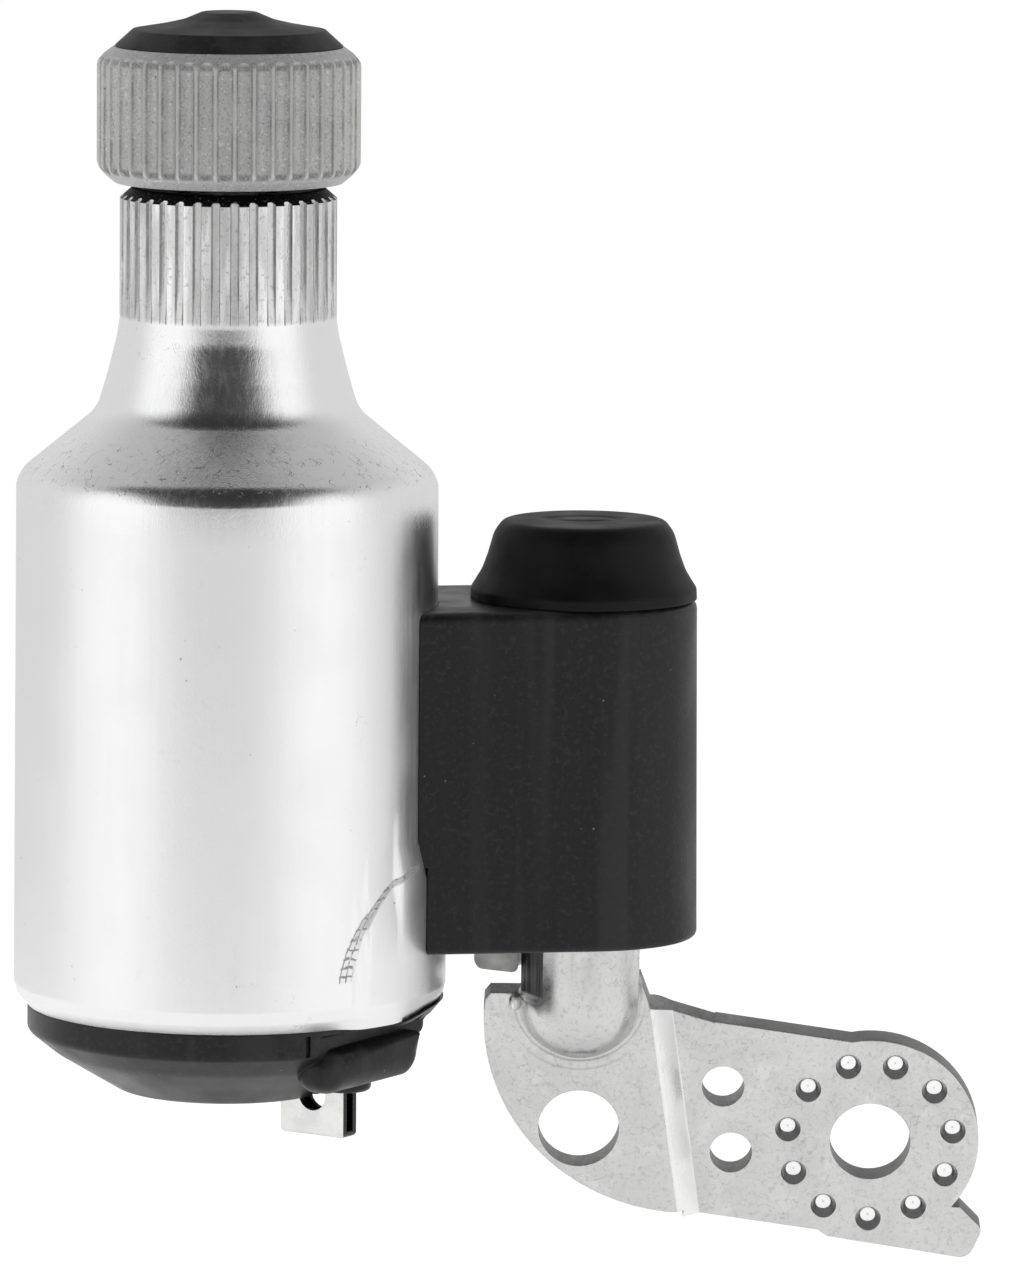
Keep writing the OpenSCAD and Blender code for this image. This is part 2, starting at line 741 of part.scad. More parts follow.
module swivel_tower() {
  s = tower_side();
  half_section = rounded([
    [0, s[0][1], 0],
    [s[0][0], s[0][1], s[0][2]],
    [s[1][0], s[1][1], s[1][2]],
    [0, s[1][1], 0]]);
  whole_section = rounded([
    [-s[0][0], s[0][1], s[0][2]],
    [s[0][0], s[0][1], s[0][2]],
    [s[1][0], s[1][1], s[1][2]],
    [-s[1][0], s[1][1], s[1][2]]]);
  color("black") place() difference() {
    at_swivel() union() {
      rotate(-90) rotate_extrude(angle = 180) polygon(half_section);
      rotate([90, 0, -90]) linear_extrude(swivel_at) polygon(whole_section);
    }
    rotate(swivel_az) bulge(bottle_r + seat, -cut, bottle_h / 2);
    translate([0, 0, -cut]) cylinder(h = bottle_h, r1 = bottle_r + seat, r2 = bottle_top_r + seat);
    at_swivel() {
      translate([0, 0, tower_foot_z - cut])
        cylinder(h = sleeve_top_z - tower_foot_z + cut, r = sleeve_r + seat);
      translate([0, 0, sleeve_top_z])
        cylinder(h = web_top_z - web_t - sleeve_top_z, r = chamber_r);
      translate([0, 0, tower_foot_z]) cylinder(h = tower_h, r = bearing_r);
      translate([0, 0, web_top_z]) cylinder(h = tower_h, r = chamber_r);
      swing_leg_slot();
    }
    rotate(swivel_az) screw_holes(screw_r + seat);
  }
}

// The steel bearing sleeve, with the stop lug that shows under the tower
module pivot_sleeve() {
  lug_foot_z = tower_foot_z - 3.9;
  color("silver") place() translate([swivel_x, swivel_y, 0]) {
    tube(tower_foot_z - 0.2, sleeve_top_z - 0.1, bearing_r, sleeve_r);
    rotate(148) rotate_extrude(angle = 42) polygon(rounded([
      [bearing_r + free_gap, lug_foot_z, 0.6],
      [bearing_r + 4.7, lug_foot_z + 0.6, 0.8],
      [bearing_r + 4.7, tower_foot_z - 0.05, 0],
      [sleeve_r - 0.4, tower_foot_z - 0.05, 0],
      [sleeve_r - 0.4, tower_foot_z + 1, 0],
      [bearing_r + free_gap, tower_foot_z + 1, 0]]));
  }
}

// The screws that hold the tower to the bottle, with their heads inside the bottle
module tower_screws() {
  head_x = bottle_top_r - wall - screw_head_h - 0.15;
  color("silver") place() rotate(swivel_az)
    for (z = screw_z) translate([head_x, 0, z]) rotate([0, 90, 0]) {
      cylinder(h = screw_head_h, r = 2.2 * screw_r);
      cylinder(h = screw_l, r = screw_r);
    }
}

// The swing spring: a torsion spring round the post

swing_mean_r = post_r + free_gap + swing_wire_r + 0.2;
swing_turns = 5;
swing_z0 = sleeve_top_z + swing_wire_r + spring_room;
swing_z1 = web_top_z - web_t - swing_wire_r - spring_room;
leg_bend = 1.6;
per_turn = 16;
swing_end = 360 * (swing_turns + 0.25);

function swing_points() = let (
  m = swing_mean_r,
  b = leg_bend,
  steps = (swing_turns + 0.25) * per_turn,
  last = [cos(swing_end), sin(swing_end)],
  along = [-last[1], last[0]],
  tip = chamber_r + 1)
  concat(
    [[post_r - 1.1, -b, swing_z0], [m - b, -b, swing_z0]],
    [for (a = [-60, -30]) [m - b + b * cos(a), b * sin(a), swing_z0]],
    [for (i = [0:steps]) let (a = 360 * i / per_turn)
      [m * cos(a), m * sin(a), swing_z0 + (swing_z1 - swing_z0) * min(max(a - 180, 0) / (swing_end - 360), 1)]],
    [for (a = [30, 60]) let (q = last * (m + b - b * cos(a)) + along * b * sin(a)) [q[0], q[1], swing_z1]],
    [let (q = last * (m + b) + along * b) [q[0], q[1], swing_z1],
     let (q = last * tip + along * b) [q[0], q[1], swing_z1]]);

module swing_spring() {
  echo(swing_spring_gap = (swing_z1 - swing_z0) / (swing_turns - 0.75) - 2 * swing_wire_r);
  color("gray") place() at_swivel() wire(swing_points(), swing_wire_r);
}

// The slot in the tower's wall for the spring's upper leg
module swing_leg_slot() {
  rotate(swing_end % 360) translate([0, leg_bend - swing_wire_r - 0.1, swing_z1 - swing_wire_r - 0.1])
    cube([chamber_r + 1.1, 2 * swing_wire_r + 0.2, 2 * swing_wire_r + 0.2]);
}

// The release button

stem_r = post_r - 1.8;
stem_foot_z = web_top_z + 1.0;
button_head_z = tower_top_z + 2.9;

module release_button() {
  top_z = tower_top_z + dome_h - 1.05;
  color("dimgray") place() at_swivel() {
    rotate_extrude() polygon([
      [0, stem_foot_z],
      [stem_r, stem_foot_z],
      [stem_r, button_head_z],
      [button_head_r, button_head_z],
      [button_head_r, button_head_z + 1.2],
      [button_crown_r, top_z],
      [0, top_z]]);
    translate([0, -1.2, stem_foot_z + 0.5]) cube([stem_r + 0.75, 2.4, 2]);
  }
}

// The rubber boot over the button, with a plain oval pressed into its top
module button_boot() {
  top_z = tower_top_z + dome_h;
  boot_wall = 1.0;
  color("black") place() at_swivel() difference() {
    rotate_extrude() polygon(concat(
      [[0, top_z - boot_wall], [button_crown_r + seat, top_z - boot_wall],
       [button_head_r + seat, button_head_z + 1.2], [button_head_r + seat, button_head_z - 1],
       [chamber_r + 0.45, tower_top_z]],
      rounded([
        [tower_r - 0.05, tower_top_z, 0],
        [tower_r - 0.05, tower_top_z + 0.3, 0.2],
        [tower_r - 1.35, tower_top_z + 2.2, 5],
        [tower_r - 2.4, top_z, 1.5],
        [0, top_z, 0]])));
    translate([0, 1.5, top_z - 0.25]) scale_oval() tube(0, 1, 2.1, 2.5);
  }
}

// An oval groove from four round ones would be coarse, so the oval is a ring with flat sides
module scale_oval() {
  intersection() {
    children();
    translate([-3, -1.9, -cut]) cube([6, 3.8, 4]);
  }
}

module button_spring() {
  wire_r = 0.35;
  turns = 7;
  bottom_z = web_top_z + wire_r + 0.02;
  top_z = button_head_z - wire_r - 0.02;
  echo(button_spring_gap = coil_gap(top_z - bottom_z, turns, wire_r));
  color("gray") place() at_swivel() wire(coil(button_spring_r, bottom_z, top_z, turns, 16), wire_r);
}

// The bracket

// The sheet's section across the crease: the inner plate, the joggle and the outer plate
module joggle_section() {
  run = joggle * 0.88;
  back = sheet * tan(atan2(joggle, run) / 2);
  far = 70;
  polygon(rounded([
    [-far, 0, 0],
    [crease_at - run, 0, 1.6],
    [crease_at, -joggle, 0.3],
    [far, -joggle, 0],
    [far, -joggle - sheet, 0],
    [crease_at - back, -joggle - sheet, 1.6],
    [crease_at - run - back, -sheet, 0.5],
    [-far, -sheet, 0]]));
}

// The outer plate's own directions: x along the arm, from the bolt hole's centre
module on_arm() {
  translate([bolt_u, -bolt_w]) rotate(-arm_fall) children();
}

module sheet_outline() {
  // The round outline keeps its margin to the hole below the post
  ear_margin = 0.56;
  ear_centre = [0, -ear_hole_w] + (ear_r - bolt_hole_r - ear_margin) * [cos(46.2), sin(46.2)];
  ear_top = 0.6;
  intersection() {
    translate(ear_centre) circle(r = ear_r, $fn = 128);
    polygon([
      [-20, -40], [14, -40], [14, -3.5], [crease_at + 0.4, -2.1], [7.1, -1.1],
      [post_r + 0.15, 1.9], [post_r - 0.75, 1.9], [post_r - 0.75, ear_top],
      [-9.0, ear_top], [-9.7, -0.3], [-20, -0.3]]);
  }
  on_arm() {
    translate([-bolt_u + 12, -arm_half_w]) square([bolt_u - 12, 2 * arm_half_w]);
    circle(r = arm_end_r);
    polygon(rounded([
      [-4.0, -arm_half_w + 0.5, 0],
      [-3.5, -arm_half_w - 0.1, 0.5],
      [-2.6, -arm_half_w - 0.55, 0.5],
      [12.0, -arm_half_w - 0.75, 1.4],
      [12.9, -arm_half_w + 2.6, 0.9],
      [10.2, -arm_half_w + 4.7, 0],
      [4, -arm_half_w + 4, 0]]));
  }
}

module fork_bracket() {
  post_top_z = web_top_z + 3;
  groove_z = web_top_z + 0.1;
  bore_z = stem_foot_z - button_travel - 0.4;
  notch_z = stem_foot_z + 0.5 - button_travel - 0.3;
  leg_z = swing_z0 - swing_wire_r - 0.15;
  color("lightgray") place() {
    difference() {
      union() {
        on_sheet() {
          intersection() {
            rotate(crease_turn) rotate([90, 0, 0]) linear_extrude(140, center = true) joggle_section();
            translate([0, 0, -joggle - sheet - cut])
              linear_extrude(joggle + sheet + 2 * cut) sheet_outline();
          }
          // The grip pips
          on_arm() for (i = [0:pips - 1]) rotate((i + 0.5) * 360 / pips)
            translate([pip_circle_r, 0, -joggle]) pip();
        }
        // The post, with its round root
        translate([swivel_x, swivel_y, 0]) rotate_extrude() polygon(concat(
          [[0, post_top_z], [0, root_z - post_r]],
          [for (a = [-80:10:0]) [post_r * cos(a), root_z + post_r * sin(a)]],
          [[post_r, groove_z], [post_r - 0.75, groove_z], [post_r - 0.75, groove_z + 0.85],
           [post_r, groove_z + 0.85], [post_r, post_top_z - 0.3], [post_r - 0.3, post_top_z]]));
      }
      // The bolt holes through the sheet
      on_sheet() {
        on_arm() translate([0, 0, -20]) cylinder(h = 40, r = bolt_hole_r);
        translate([0, -ear_hole_w, -20]) cylinder(h = 40 - post_r, r = bolt_hole_r);
        on_arm() for (p = [[-15.7, 3.6], [-13.75, -3.4]])
          translate([p[0], p[1], -20]) cylinder(h = 40, r = small_hole_r);
      }
      at_swivel() {
        // The bore and the notch for the button's stem and its tooth
        translate([0, 0, bore_z]) cylinder(h = 20, r = stem_r + 0.2);
        translate([0, 0, notch_z]) rotate(-22) rotate_extrude(angle = swing + 44)
          square([post_r + cut, 20]);
        // The groove for the swing spring's lower leg
        translate([0, 0, leg_z]) rotate(-32) rotate_extrude(angle = swing + 32)
          translate([post_r - 1.3, 0]) square([3, 2 * swing_wire_r + 0.3]);
      }
      // The long flat on the post's side
      translate([swivel_x, swivel_y, root_z + 0.5]) rotate(205.4)
        translate([post_r - 0.57, -post_r, 0]) cube([2, 2 * post_r, sleeve_top_z - root_z - 1]);
    }
  }
}

// One pip: the cap of a ball that is sunk in the sheet
module pip() {
  ball_r = (pip_r * pip_r + pip_h * pip_h) / (2 * pip_h);
  translate([0, 0, pip_h - ball_r]) sphere(r = ball_r, $fn = 48);
}

module retaining_ring() {
  ring_z = web_top_z + 0.15;
  color("gray") place() translate([swivel_x, swivel_y, 0]) difference() {
    tube(ring_z, ring_z + 0.7, post_r - 0.7, post_r + 1.25);
    rotate(110) translate([0, -1.2, ring_z - cut]) cube([post_r + 3, 2.4, 3]);
  }
}

roller();
roller_cap();
roller_nut();
slinger_ring();
rotor_shaft();
magnet_hub();
rotor_magnet();
bottle_shell();
neck_bearing_holder();
upper_bush();
felt_ring();
lower_bush();
bearing_plate();
lower_pole_cup();
upper_pole_cup();
coil_bobbin();
coil_winding();
bottom_cap();
terminal_strip();
terminal_spring();
swivel_tower();
pivot_sleeve();
tower_screws();
swing_spring();
release_button();
button_boot();
button_spring();
fork_bracket();
retaining_ring();
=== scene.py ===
import math

import bpy
from bpy.props import FloatProperty, FloatVectorProperty, IntProperty, PointerProperty
from mathutils import Matrix, Vector, noise


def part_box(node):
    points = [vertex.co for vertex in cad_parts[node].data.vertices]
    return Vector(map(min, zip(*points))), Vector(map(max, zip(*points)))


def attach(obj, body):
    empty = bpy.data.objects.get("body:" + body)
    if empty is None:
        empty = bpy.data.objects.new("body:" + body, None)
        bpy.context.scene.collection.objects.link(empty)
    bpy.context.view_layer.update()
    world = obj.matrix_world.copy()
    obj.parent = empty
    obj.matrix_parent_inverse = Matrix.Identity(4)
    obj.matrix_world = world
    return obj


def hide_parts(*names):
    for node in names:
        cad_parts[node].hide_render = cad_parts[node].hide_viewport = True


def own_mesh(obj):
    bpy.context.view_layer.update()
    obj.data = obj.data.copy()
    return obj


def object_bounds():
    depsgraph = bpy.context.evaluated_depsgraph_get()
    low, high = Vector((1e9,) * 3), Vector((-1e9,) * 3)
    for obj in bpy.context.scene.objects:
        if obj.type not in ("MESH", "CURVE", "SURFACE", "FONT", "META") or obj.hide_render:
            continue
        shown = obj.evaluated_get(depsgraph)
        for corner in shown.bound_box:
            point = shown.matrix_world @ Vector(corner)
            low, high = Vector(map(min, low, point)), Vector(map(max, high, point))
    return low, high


bl_info = {
    "name": "Bottle dynamo",
    "version": (1, 0, 0),
    "blender": (4, 5, 0),
    "location": "View3D > Sidebar > Dynamo",
    "description": "Gives a bottle dynamo its detailed pieces, finishes and studio",
    "category": "Object",
}

MM = 0.001
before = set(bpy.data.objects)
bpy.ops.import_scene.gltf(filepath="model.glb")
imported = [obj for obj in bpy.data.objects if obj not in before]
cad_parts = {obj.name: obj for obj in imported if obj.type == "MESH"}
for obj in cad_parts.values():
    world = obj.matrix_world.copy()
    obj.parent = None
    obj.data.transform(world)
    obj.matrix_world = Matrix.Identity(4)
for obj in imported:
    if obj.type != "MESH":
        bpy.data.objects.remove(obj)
cad_low, cad_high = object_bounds()

# The bottle's lower edge and the two upright axes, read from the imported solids
shell_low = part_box("bottle_shell")[0]
shaft_low, shaft_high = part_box("rotor_shaft")
boot_low, boot_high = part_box("button_boot")
roller_low, roller_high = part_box("roller")
ROLLER_AXIS = Vector(((shaft_low.x + shaft_high.x) / 2, (shaft_low.y + shaft_high.y) / 2, shell_low.z))
SWIVEL_AXIS = Vector(((boot_low.x + boot_high.x) / 2, (boot_low.y + boot_high.y) / 2, shell_low.z))
SWIVEL_TURN = math.atan2(SWIVEL_AXIS.y - ROLLER_AXIS.y, SWIVEL_AXIS.x - ROLLER_AXIS.x)

# The measures below are in millimetres, and heights are over the bottle's lower edge.
# The roller's lower and upper end, and the dome's foot and top
ROLLER_LOW, ROLLER_HIGH, DOME_FOOT, DOME_TOP = [
    (corner.z - shell_low.z) / MM for corner in (roller_low, roller_high, boot_low, boot_high)]

# Radii of the bottle, its neck and the roller, and heights of the shoulder and the grooved neck
BOTTLE_RADIUS, NECK_RADIUS, ROLLER_RADIUS = 21.15, 10.75, 13.05
SHOULDER, NECK_LOW, NECK_HIGH = 52.0, 68.6, 80.6

# The area pressed out under the tower: half its angle, the height its corner arcs start at, their radius and
# how far they are squeezed round the bottle, and half the angle of the lip below it
BULGE_TURN, BULGE_Z, BULGE_R, BULGE_SQUEEZE = math.radians(33.4), 3.3, 11.7, 1.1
LIP_TURN = math.radians(46)

# Directions of the terminal and of the post's flat, and the sheet's lean
TERMINAL_TURN, FLAT_TURN, LEAN = math.radians(-33), math.radians(205.4), math.radians(11.5)
POST_ROOT = SWIVEL_AXIS + Vector((0, 0, -0.5)) * MM
SHEET_UP = Vector((0, -math.sin(LEAN), math.cos(LEAN)))
SHEET_OUT = Vector((0, -math.cos(LEAN), -math.sin(LEAN)))

# The outer plate: its bolt hole's place on the sheet, its fall, how far it stands back, and its dimples
BOLT_HOLE, ARM_FALL, JOGGLE = Vector((29.6, -16.2)), math.radians(8.5), 2.5
PIPS, PIP_RING, PIP_RADIUS, PIP_DEPTH = 11, 8.45, 1.3, 1.15

# The cap's flat, out from the roller's axis, its foot, and its bar: ends, inner and outer face, foot and top
CAP_FLAT, CAP_FOOT = 17.25, -8.6
CAP_BAR = ((-9.0, 6.9), (13.6, 19.0), (-6.35, -2.0))


def at_roller(x=0, y=0, z=0):
    """A point given in millimetres from the roller's axis and the bottle's lower edge."""
    return ROLLER_AXIS + Vector((x, y, z)) * MM


def by_terminal(out, along, z, turn=TERMINAL_TURN):
    """A point given in millimetres out of the bottle through the terminal, along the cap's bar, and up."""
    c, s = math.cos(turn), math.sin(turn)
    return at_roller(out * c - along * s, out * s + along * c, z)


def on_sheet(u, w, out=0.0):
    """A point given in millimetres along, up and out of the bracket's inner plate, from the post's root."""
    return POST_ROOT + (Vector((u, 0, 0)) + SHEET_UP * w + SHEET_OUT * out) * MM


# Sizes and colours that can be changed


def colour(name, description, default):
    return FloatVectorProperty(
        name=name, description=description, subtype="COLOR", size=3, default=default, min=0, max=1)


def length(name, description, default, most):
    return FloatProperty(name=name, description=description, unit="LENGTH", default=default, min=0, max=most)


class StudioSettings(bpy.types.PropertyGroup):
    floor_colour: colour("Floor colour", "Colour of the floor", (0.86, 0.86, 0.86))
    floor_drop: length("Floor drop", "Distance of the floor below the bracket", 0.018, 0.5)
    surround: FloatProperty(
        name="Surround", description="Brightness of the studio round the object", default=0.9, min=0, max=2)
    lamp_power: FloatProperty(
        name="Lamp power", description="Power of each soft lamp in watts", default=1.0, min=0, max=20)


class MetalSettings(bpy.types.PropertyGroup):
    aluminium: colour("Aluminium", "Colour of the bottle", (0.93, 0.93, 0.935))
    zinc: colour("Cast zinc", "Colour of the roller", (0.62, 0.62, 0.617))
    plating: colour("Zinc plating", "Colour of the bracket and its post", (0.69, 0.69, 0.685))


class BlackSettings(bpy.types.PropertyGroup):
    plastic: colour("Plastic", "Colour of the tower and the caps", (0.008, 0.008, 0.0085))
    rubber: colour("Rubber", "Colour of the button's dome", (0.003, 0.003, 0.003))


class BottleSettings(bpy.types.PropertyGroup):
    grooves: IntProperty(
        name="Neck grooves", description="Number of grooves round the neck", default=36, min=8, max=60)
    groove_depth: length("Groove depth", "Depth of the neck's grooves", 0.0004, 0.001)
    pressed_out: length("Pressed-out step", "How far the bottle is pressed out under the tower", 0.00085, 0.002)


class RollerSettings(bpy.types.PropertyGroup):
    flutes: IntProperty(
        name="Flutes", description="Number of flutes round the roller", default=42, min=8, max=60)
    flute_depth: length("Flute depth", "Depth of the roller's flutes", 0.0007, 0.002)


# Modelling helpers


def deselect():
    if bpy.context.object and bpy.context.object.mode != "OBJECT":
        bpy.ops.object.mode_set(mode="OBJECT")
    bpy.ops.object.select_all(action="DESELECT")


def select(piece):
    deselect()
    piece.select_set(True)
    bpy.context.view_layer.objects.active = piece


def shaped(primitive, rule, **settings):
    """Adds a primitive and moves each of its points by a rule."""
    deselect()
    primitive(location=(0, 0, 0), **settings)
    for vertex in bpy.context.object.data.vertices:
        vertex.co = rule(vertex.co.copy())
    return bpy.context.object


def edit(*steps):
    """Runs edit mode operators, each on all of the active piece."""
    bpy.ops.object.mode_set(mode="EDIT")
    for step, settings in steps:
        bpy.ops.mesh.select_all(action="SELECT")
        step(**settings)
    bpy.ops.object.mode_set(mode="OBJECT")


MERGE = (bpy.ops.mesh.remove_doubles, {"threshold": 2e-6})
FACE_OUT = (bpy.ops.mesh.normals_make_consistent, {"inside": False})


def rounded(points, steps=6):
    """Rounds each (x, y, radius) corner of a closed outline with an arc."""
    made = []
    for i, (x, y, radius) in enumerate(points):
        here = Vector((x, y))
        before = Vector(points[i - 1][:2]) - here
        after = Vector(points[(i + 1) % len(points)][:2]) - here
        if radius <= 0:
            made.append(here)
            continue
        u, v = before.normalized(), after.normalized()
        half = u.angle(v) / 2
        middle = here + (u + v).normalized() * radius / math.sin(half)
        start = here + u * radius / math.tan(half) - middle
        end = here + v * radius / math.tan(half) - middle
        turn = math.atan2(start.x * end.y - start.y * end.x, start.dot(end))
        for k in range(steps + 1):
            a = turn * k / steps
            made.append(middle + Vector((start.x * math.cos(a) - start.y * math.sin(a),
                                         start.x * math.sin(a) + start.y * math.cos(a))))
    return made


def stepped(points, longest):
    """Adds points to a closed outline until no side is longer than longest(x, y)."""
    made = []
    for i, here in enumerate(points):
        ahead = points[(i + 1) % len(points)]
        count = max(1, math.ceil((ahead - here).length / longest((here + ahead) / 2)))
        made += [here + (ahead - here) * k / count for k in range(count)]
    return made


def turned(name, outline, centre, steps=128):
    """Spins a closed outline of (radius, height) in millimetres about an upright axis."""
    deselect()
    bpy.ops.mesh.primitive_circle_add(vertices=len(outline), fill_type="NOTHING", location=centre)
    piece = bpy.context.object
    piece.name = piece.data.name = name
    for vertex, (r, z) in zip(piece.data.vertices, outline):
        vertex.co = (r * MM, 0, z * MM)
    round_axis = {"steps": steps, "angle": math.tau, "use_auto_merge": True, "center": centre, "axis": (0, 0, 1)}
    edit((bpy.ops.mesh.spin, round_axis), MERGE, FACE_OUT)
    bpy.ops.object.transform_apply(location=True, rotation=True, scale=True)
    return piece


def reshape(piece, centre, rule):
    """Moves each point of a turned piece: rule takes and gives back its radius, angle and height."""
    for vertex in piece.data.vertices:
        p = (vertex.co - centre) / MM
        r, turn, z = rule(math.hypot(p.x, p.y), math.atan2(p.y, p.x), p.z)
        vertex.co = centre + Vector((r * math.cos(turn), r * math.sin(turn), z)) * MM


def put_finish(piece, material):
    piece.data.materials.clear()
    piece.data.materials.append(material)


def finished(piece, body, slot, material, *replaced, angle=35):
    """Shades a piece, gives it its material and joins it to its body."""
    select(piece)
    bpy.ops.object.shade_smooth_by_angle(angle=math.radians(angle))
    put_finish(piece, material)
    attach(piece, body)
    if replaced:
        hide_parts(*replaced)
    return piece


def combined(piece, tool, operation):
    """Adds a closed tool to a piece or cuts it out, and removes the tool."""
    select(piece)
    change = piece.modifiers.new("combined", "BOOLEAN")
    change.operation, change.solver, change.object = operation, "EXACT", tool
    bpy.ops.object.modifier_apply(modifier=change.name)
    bpy.data.objects.remove(tool)


def merged_copy(node, name):
    """A new piece from a CAD node's mesh, with its doubled points merged."""
    piece = bpy.data.objects.new(name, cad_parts[node].data.copy())
    bpy.context.scene.collection.objects.link(piece)
    select(piece)
    edit(MERGE, (bpy.ops.mesh.dissolve_limited, {"angle_limit": math.radians(0.5)}))
    return piece


def ease(x):
    x = min(max(x, 0.0), 1.0)
    return x * x * (3 - 2 * x)


def from_swivel(turn):
    """The angle between a direction and the tower's."""
    return abs((turn - SWIVEL_TURN + math.pi) % math.tau - math.pi)


def moved_out(radius, out, side):
    """A circle's radius seen from its old middle, at an angle from the way it moved out."""
    return out * math.cos(side) + math.sqrt(radius ** 2 - (out * math.sin(side)) ** 2)


# Materials


class Nodes:
    """A node tree that is put together step by step."""

    def __init__(self, tree, output):
        self.tree = tree
        tree.nodes.clear()
        self.output = tree.nodes.new(output)

    def put(self, socket, value):
        """Links a socket or sets its value; a single number for a colour is a grey."""
        if isinstance(value, bpy.types.NodeSocket):
            self.tree.links.new(value, socket)
        elif socket.type == "RGBA":
            socket.default_value = (value, value, value, 1) if isinstance(value, float) else (*value, 1)
        else:
            socket.default_value = value

    def node(self, kind, settings=None, **inputs):
        made = self.tree.nodes.new(kind)
        for key, value in (settings or {}).items():
            setattr(made, key, value)
        for key, value in inputs.items():
            self.put(made.inputs[key.replace("_", " ")], value)
        return made

    def sum(self, operation, *values, kind="ShaderNodeMath", output=0):
        made = self.node(kind, {"operation": operation})
        for socket, value in zip(made.inputs, values):
            self.put(socket, value)
        return made.outputs[output]

    def both(self, *values):
        """Multiplies its values."""
        made = values[0]
        for value in values[1:]:
            made = self.sum("MULTIPLY", made, value)
        return made

    def off(self, value, middle):
        """How far a value is from a middle."""
        return self.sum("ABSOLUTE", self.sum("SUBTRACT", value, middle))

    def spread(self, value, low, high, out_low=0.0, out_high=1.0):
        """Maps low..high smoothly to out_low..out_high."""
        made = self.node("ShaderNodeMapRange", {"interpolation_type": "SMOOTHSTEP"})
        for key, number in (("Value", value), ("From Min", low), ("From Max", high),
                            ("To Min", out_low), ("To Max", out_high)):
            self.put(made.inputs[key], number)
        return made.outputs[0]

    def within(self, value, low, rise, high, fall):
        """1 between low + rise and high - fall, and 0 below low and above high."""
        return self.both(self.spread(value, low, low + rise), self.spread(value, high, high - fall))


class Finish(Nodes):
    """A material, painted in layers over its first colour."""

    def __init__(self, name, colour):
        self.colour = colour
        self.material = bpy.data.materials.new(name)
        self.material.use_nodes = True
        super().__init__(self.material.node_tree, "ShaderNodeOutputMaterial")
        self.surface = self.tree.nodes.new("ShaderNodeBsdfPrincipled")
        self.put(self.output.inputs["Surface"], self.surface.outputs[0])

    def point(self, centre=(0, 0, 0), stretch=(1, 1, 1)):
        """Object coordinates from a centre, scaled along each axis."""
        place = self.node("ShaderNodeTexCoord").outputs["Object"]
        moved = self.sum("SUBTRACT", place, Vector(centre), kind="ShaderNodeVectorMath")
        return self.sum("MULTIPLY", moved, Vector(stretch), kind="ShaderNodeVectorMath")

    def along(self, vector, direction):
        """How far a vector reaches in a direction."""
        return self.sum("DOT_PRODUCT", vector, direction, kind="ShaderNodeVectorMath", output="Value")

    def normal(self, output="Normal"):
        return self.node("ShaderNodeNewGeometry").outputs[output]

    def parts(self, vector):
        return self.node("ShaderNodeSeparateXYZ", Vector=vector).outputs

    def about(self, centre):
        """Angle, radius and height in millimetres about an upright axis."""
        x, y, z = self.parts(self.point(centre, (1000, 1000, 1000)))
        radius = self.sum("SQRT", self.sum("MULTIPLY_ADD", x, x, self.both(y, y)))
        return self.sum("ARCTAN2", y, x), radius, z

    def from_middle(self, turn, count):
        """Splits the way round into equal parts: 0 in the middle of a part and 0.5 at its ends."""
        return self.off(self.sum("FRACT", self.both(turn, count / math.tau)), 0.5)

    def hair(self, vector, size, width=0.012):
        """Fine curly scratches: 1 on them and 0 beside them."""
        return self.spread(self.off(self.noise(vector, size, 2.0), 0.5), width, width / 3)

    def noise(self, vector, size, detail=3.0, roughness=0.55):
        """Noise whose blots are about size millimetres across."""
        return self.node(
            "ShaderNodeTexNoise", Vector=vector, Scale=1000.0 / size, Detail=detail, Roughness=roughness
        ).outputs["Fac"]

    def blots(self, vector, size, detail, *spread):
        """Noise that is spread between two of its levels."""
        return self.spread(self.noise(vector, size, detail), *spread)

    def cells(self, vector, size):
        return self.node("ShaderNodeTexVoronoi", Vector=vector, Scale=1000.0 / size).outputs["Distance"]

    def blend(self, share, a, b):
        made = self.node("ShaderNodeMix", {"data_type": "RGBA"})
        self.put(made.inputs[0], share)
        self.put(made.inputs[6], a)
        self.put(made.inputs[7], b)
        return made.outputs[2]

    def paint(self, mask, tone):
        """Blends a tone over the colour so far, where the mask is 1."""
        self.colour = self.blend(mask, self.colour, tone)

    def bump(self, height, depth, normal=None):
        """Turns height into relief of depth millimetres."""
        made = self.node("ShaderNodeBump", Strength=1.0, Distance=depth * MM, Height=height)
        if normal is not None:
            self.put(made.inputs["Normal"], normal)
        return made.outputs[0]

    def soft_edges(self, radius):
        """A normal that rounds the sharp edges by radius millimetres."""
        return self.node("ShaderNodeBevel", {"samples": 6}, Radius=radius * MM).outputs[0]

    def edge_wear(self, radius):
        """1 on the sharp edges and 0 on the faces."""
        return self.spread(self.along(self.soft_edges(radius), self.normal()), 0.995, 0.9)

    def set(self, **inputs):
        """Gives the surface its colour and its other looks."""
        self.put(self.surface.inputs["Base Color"], self.colour)
        for key, value in inputs.items():
            self.put(self.surface.inputs[key.replace("_", " ")], value)
        return self.material


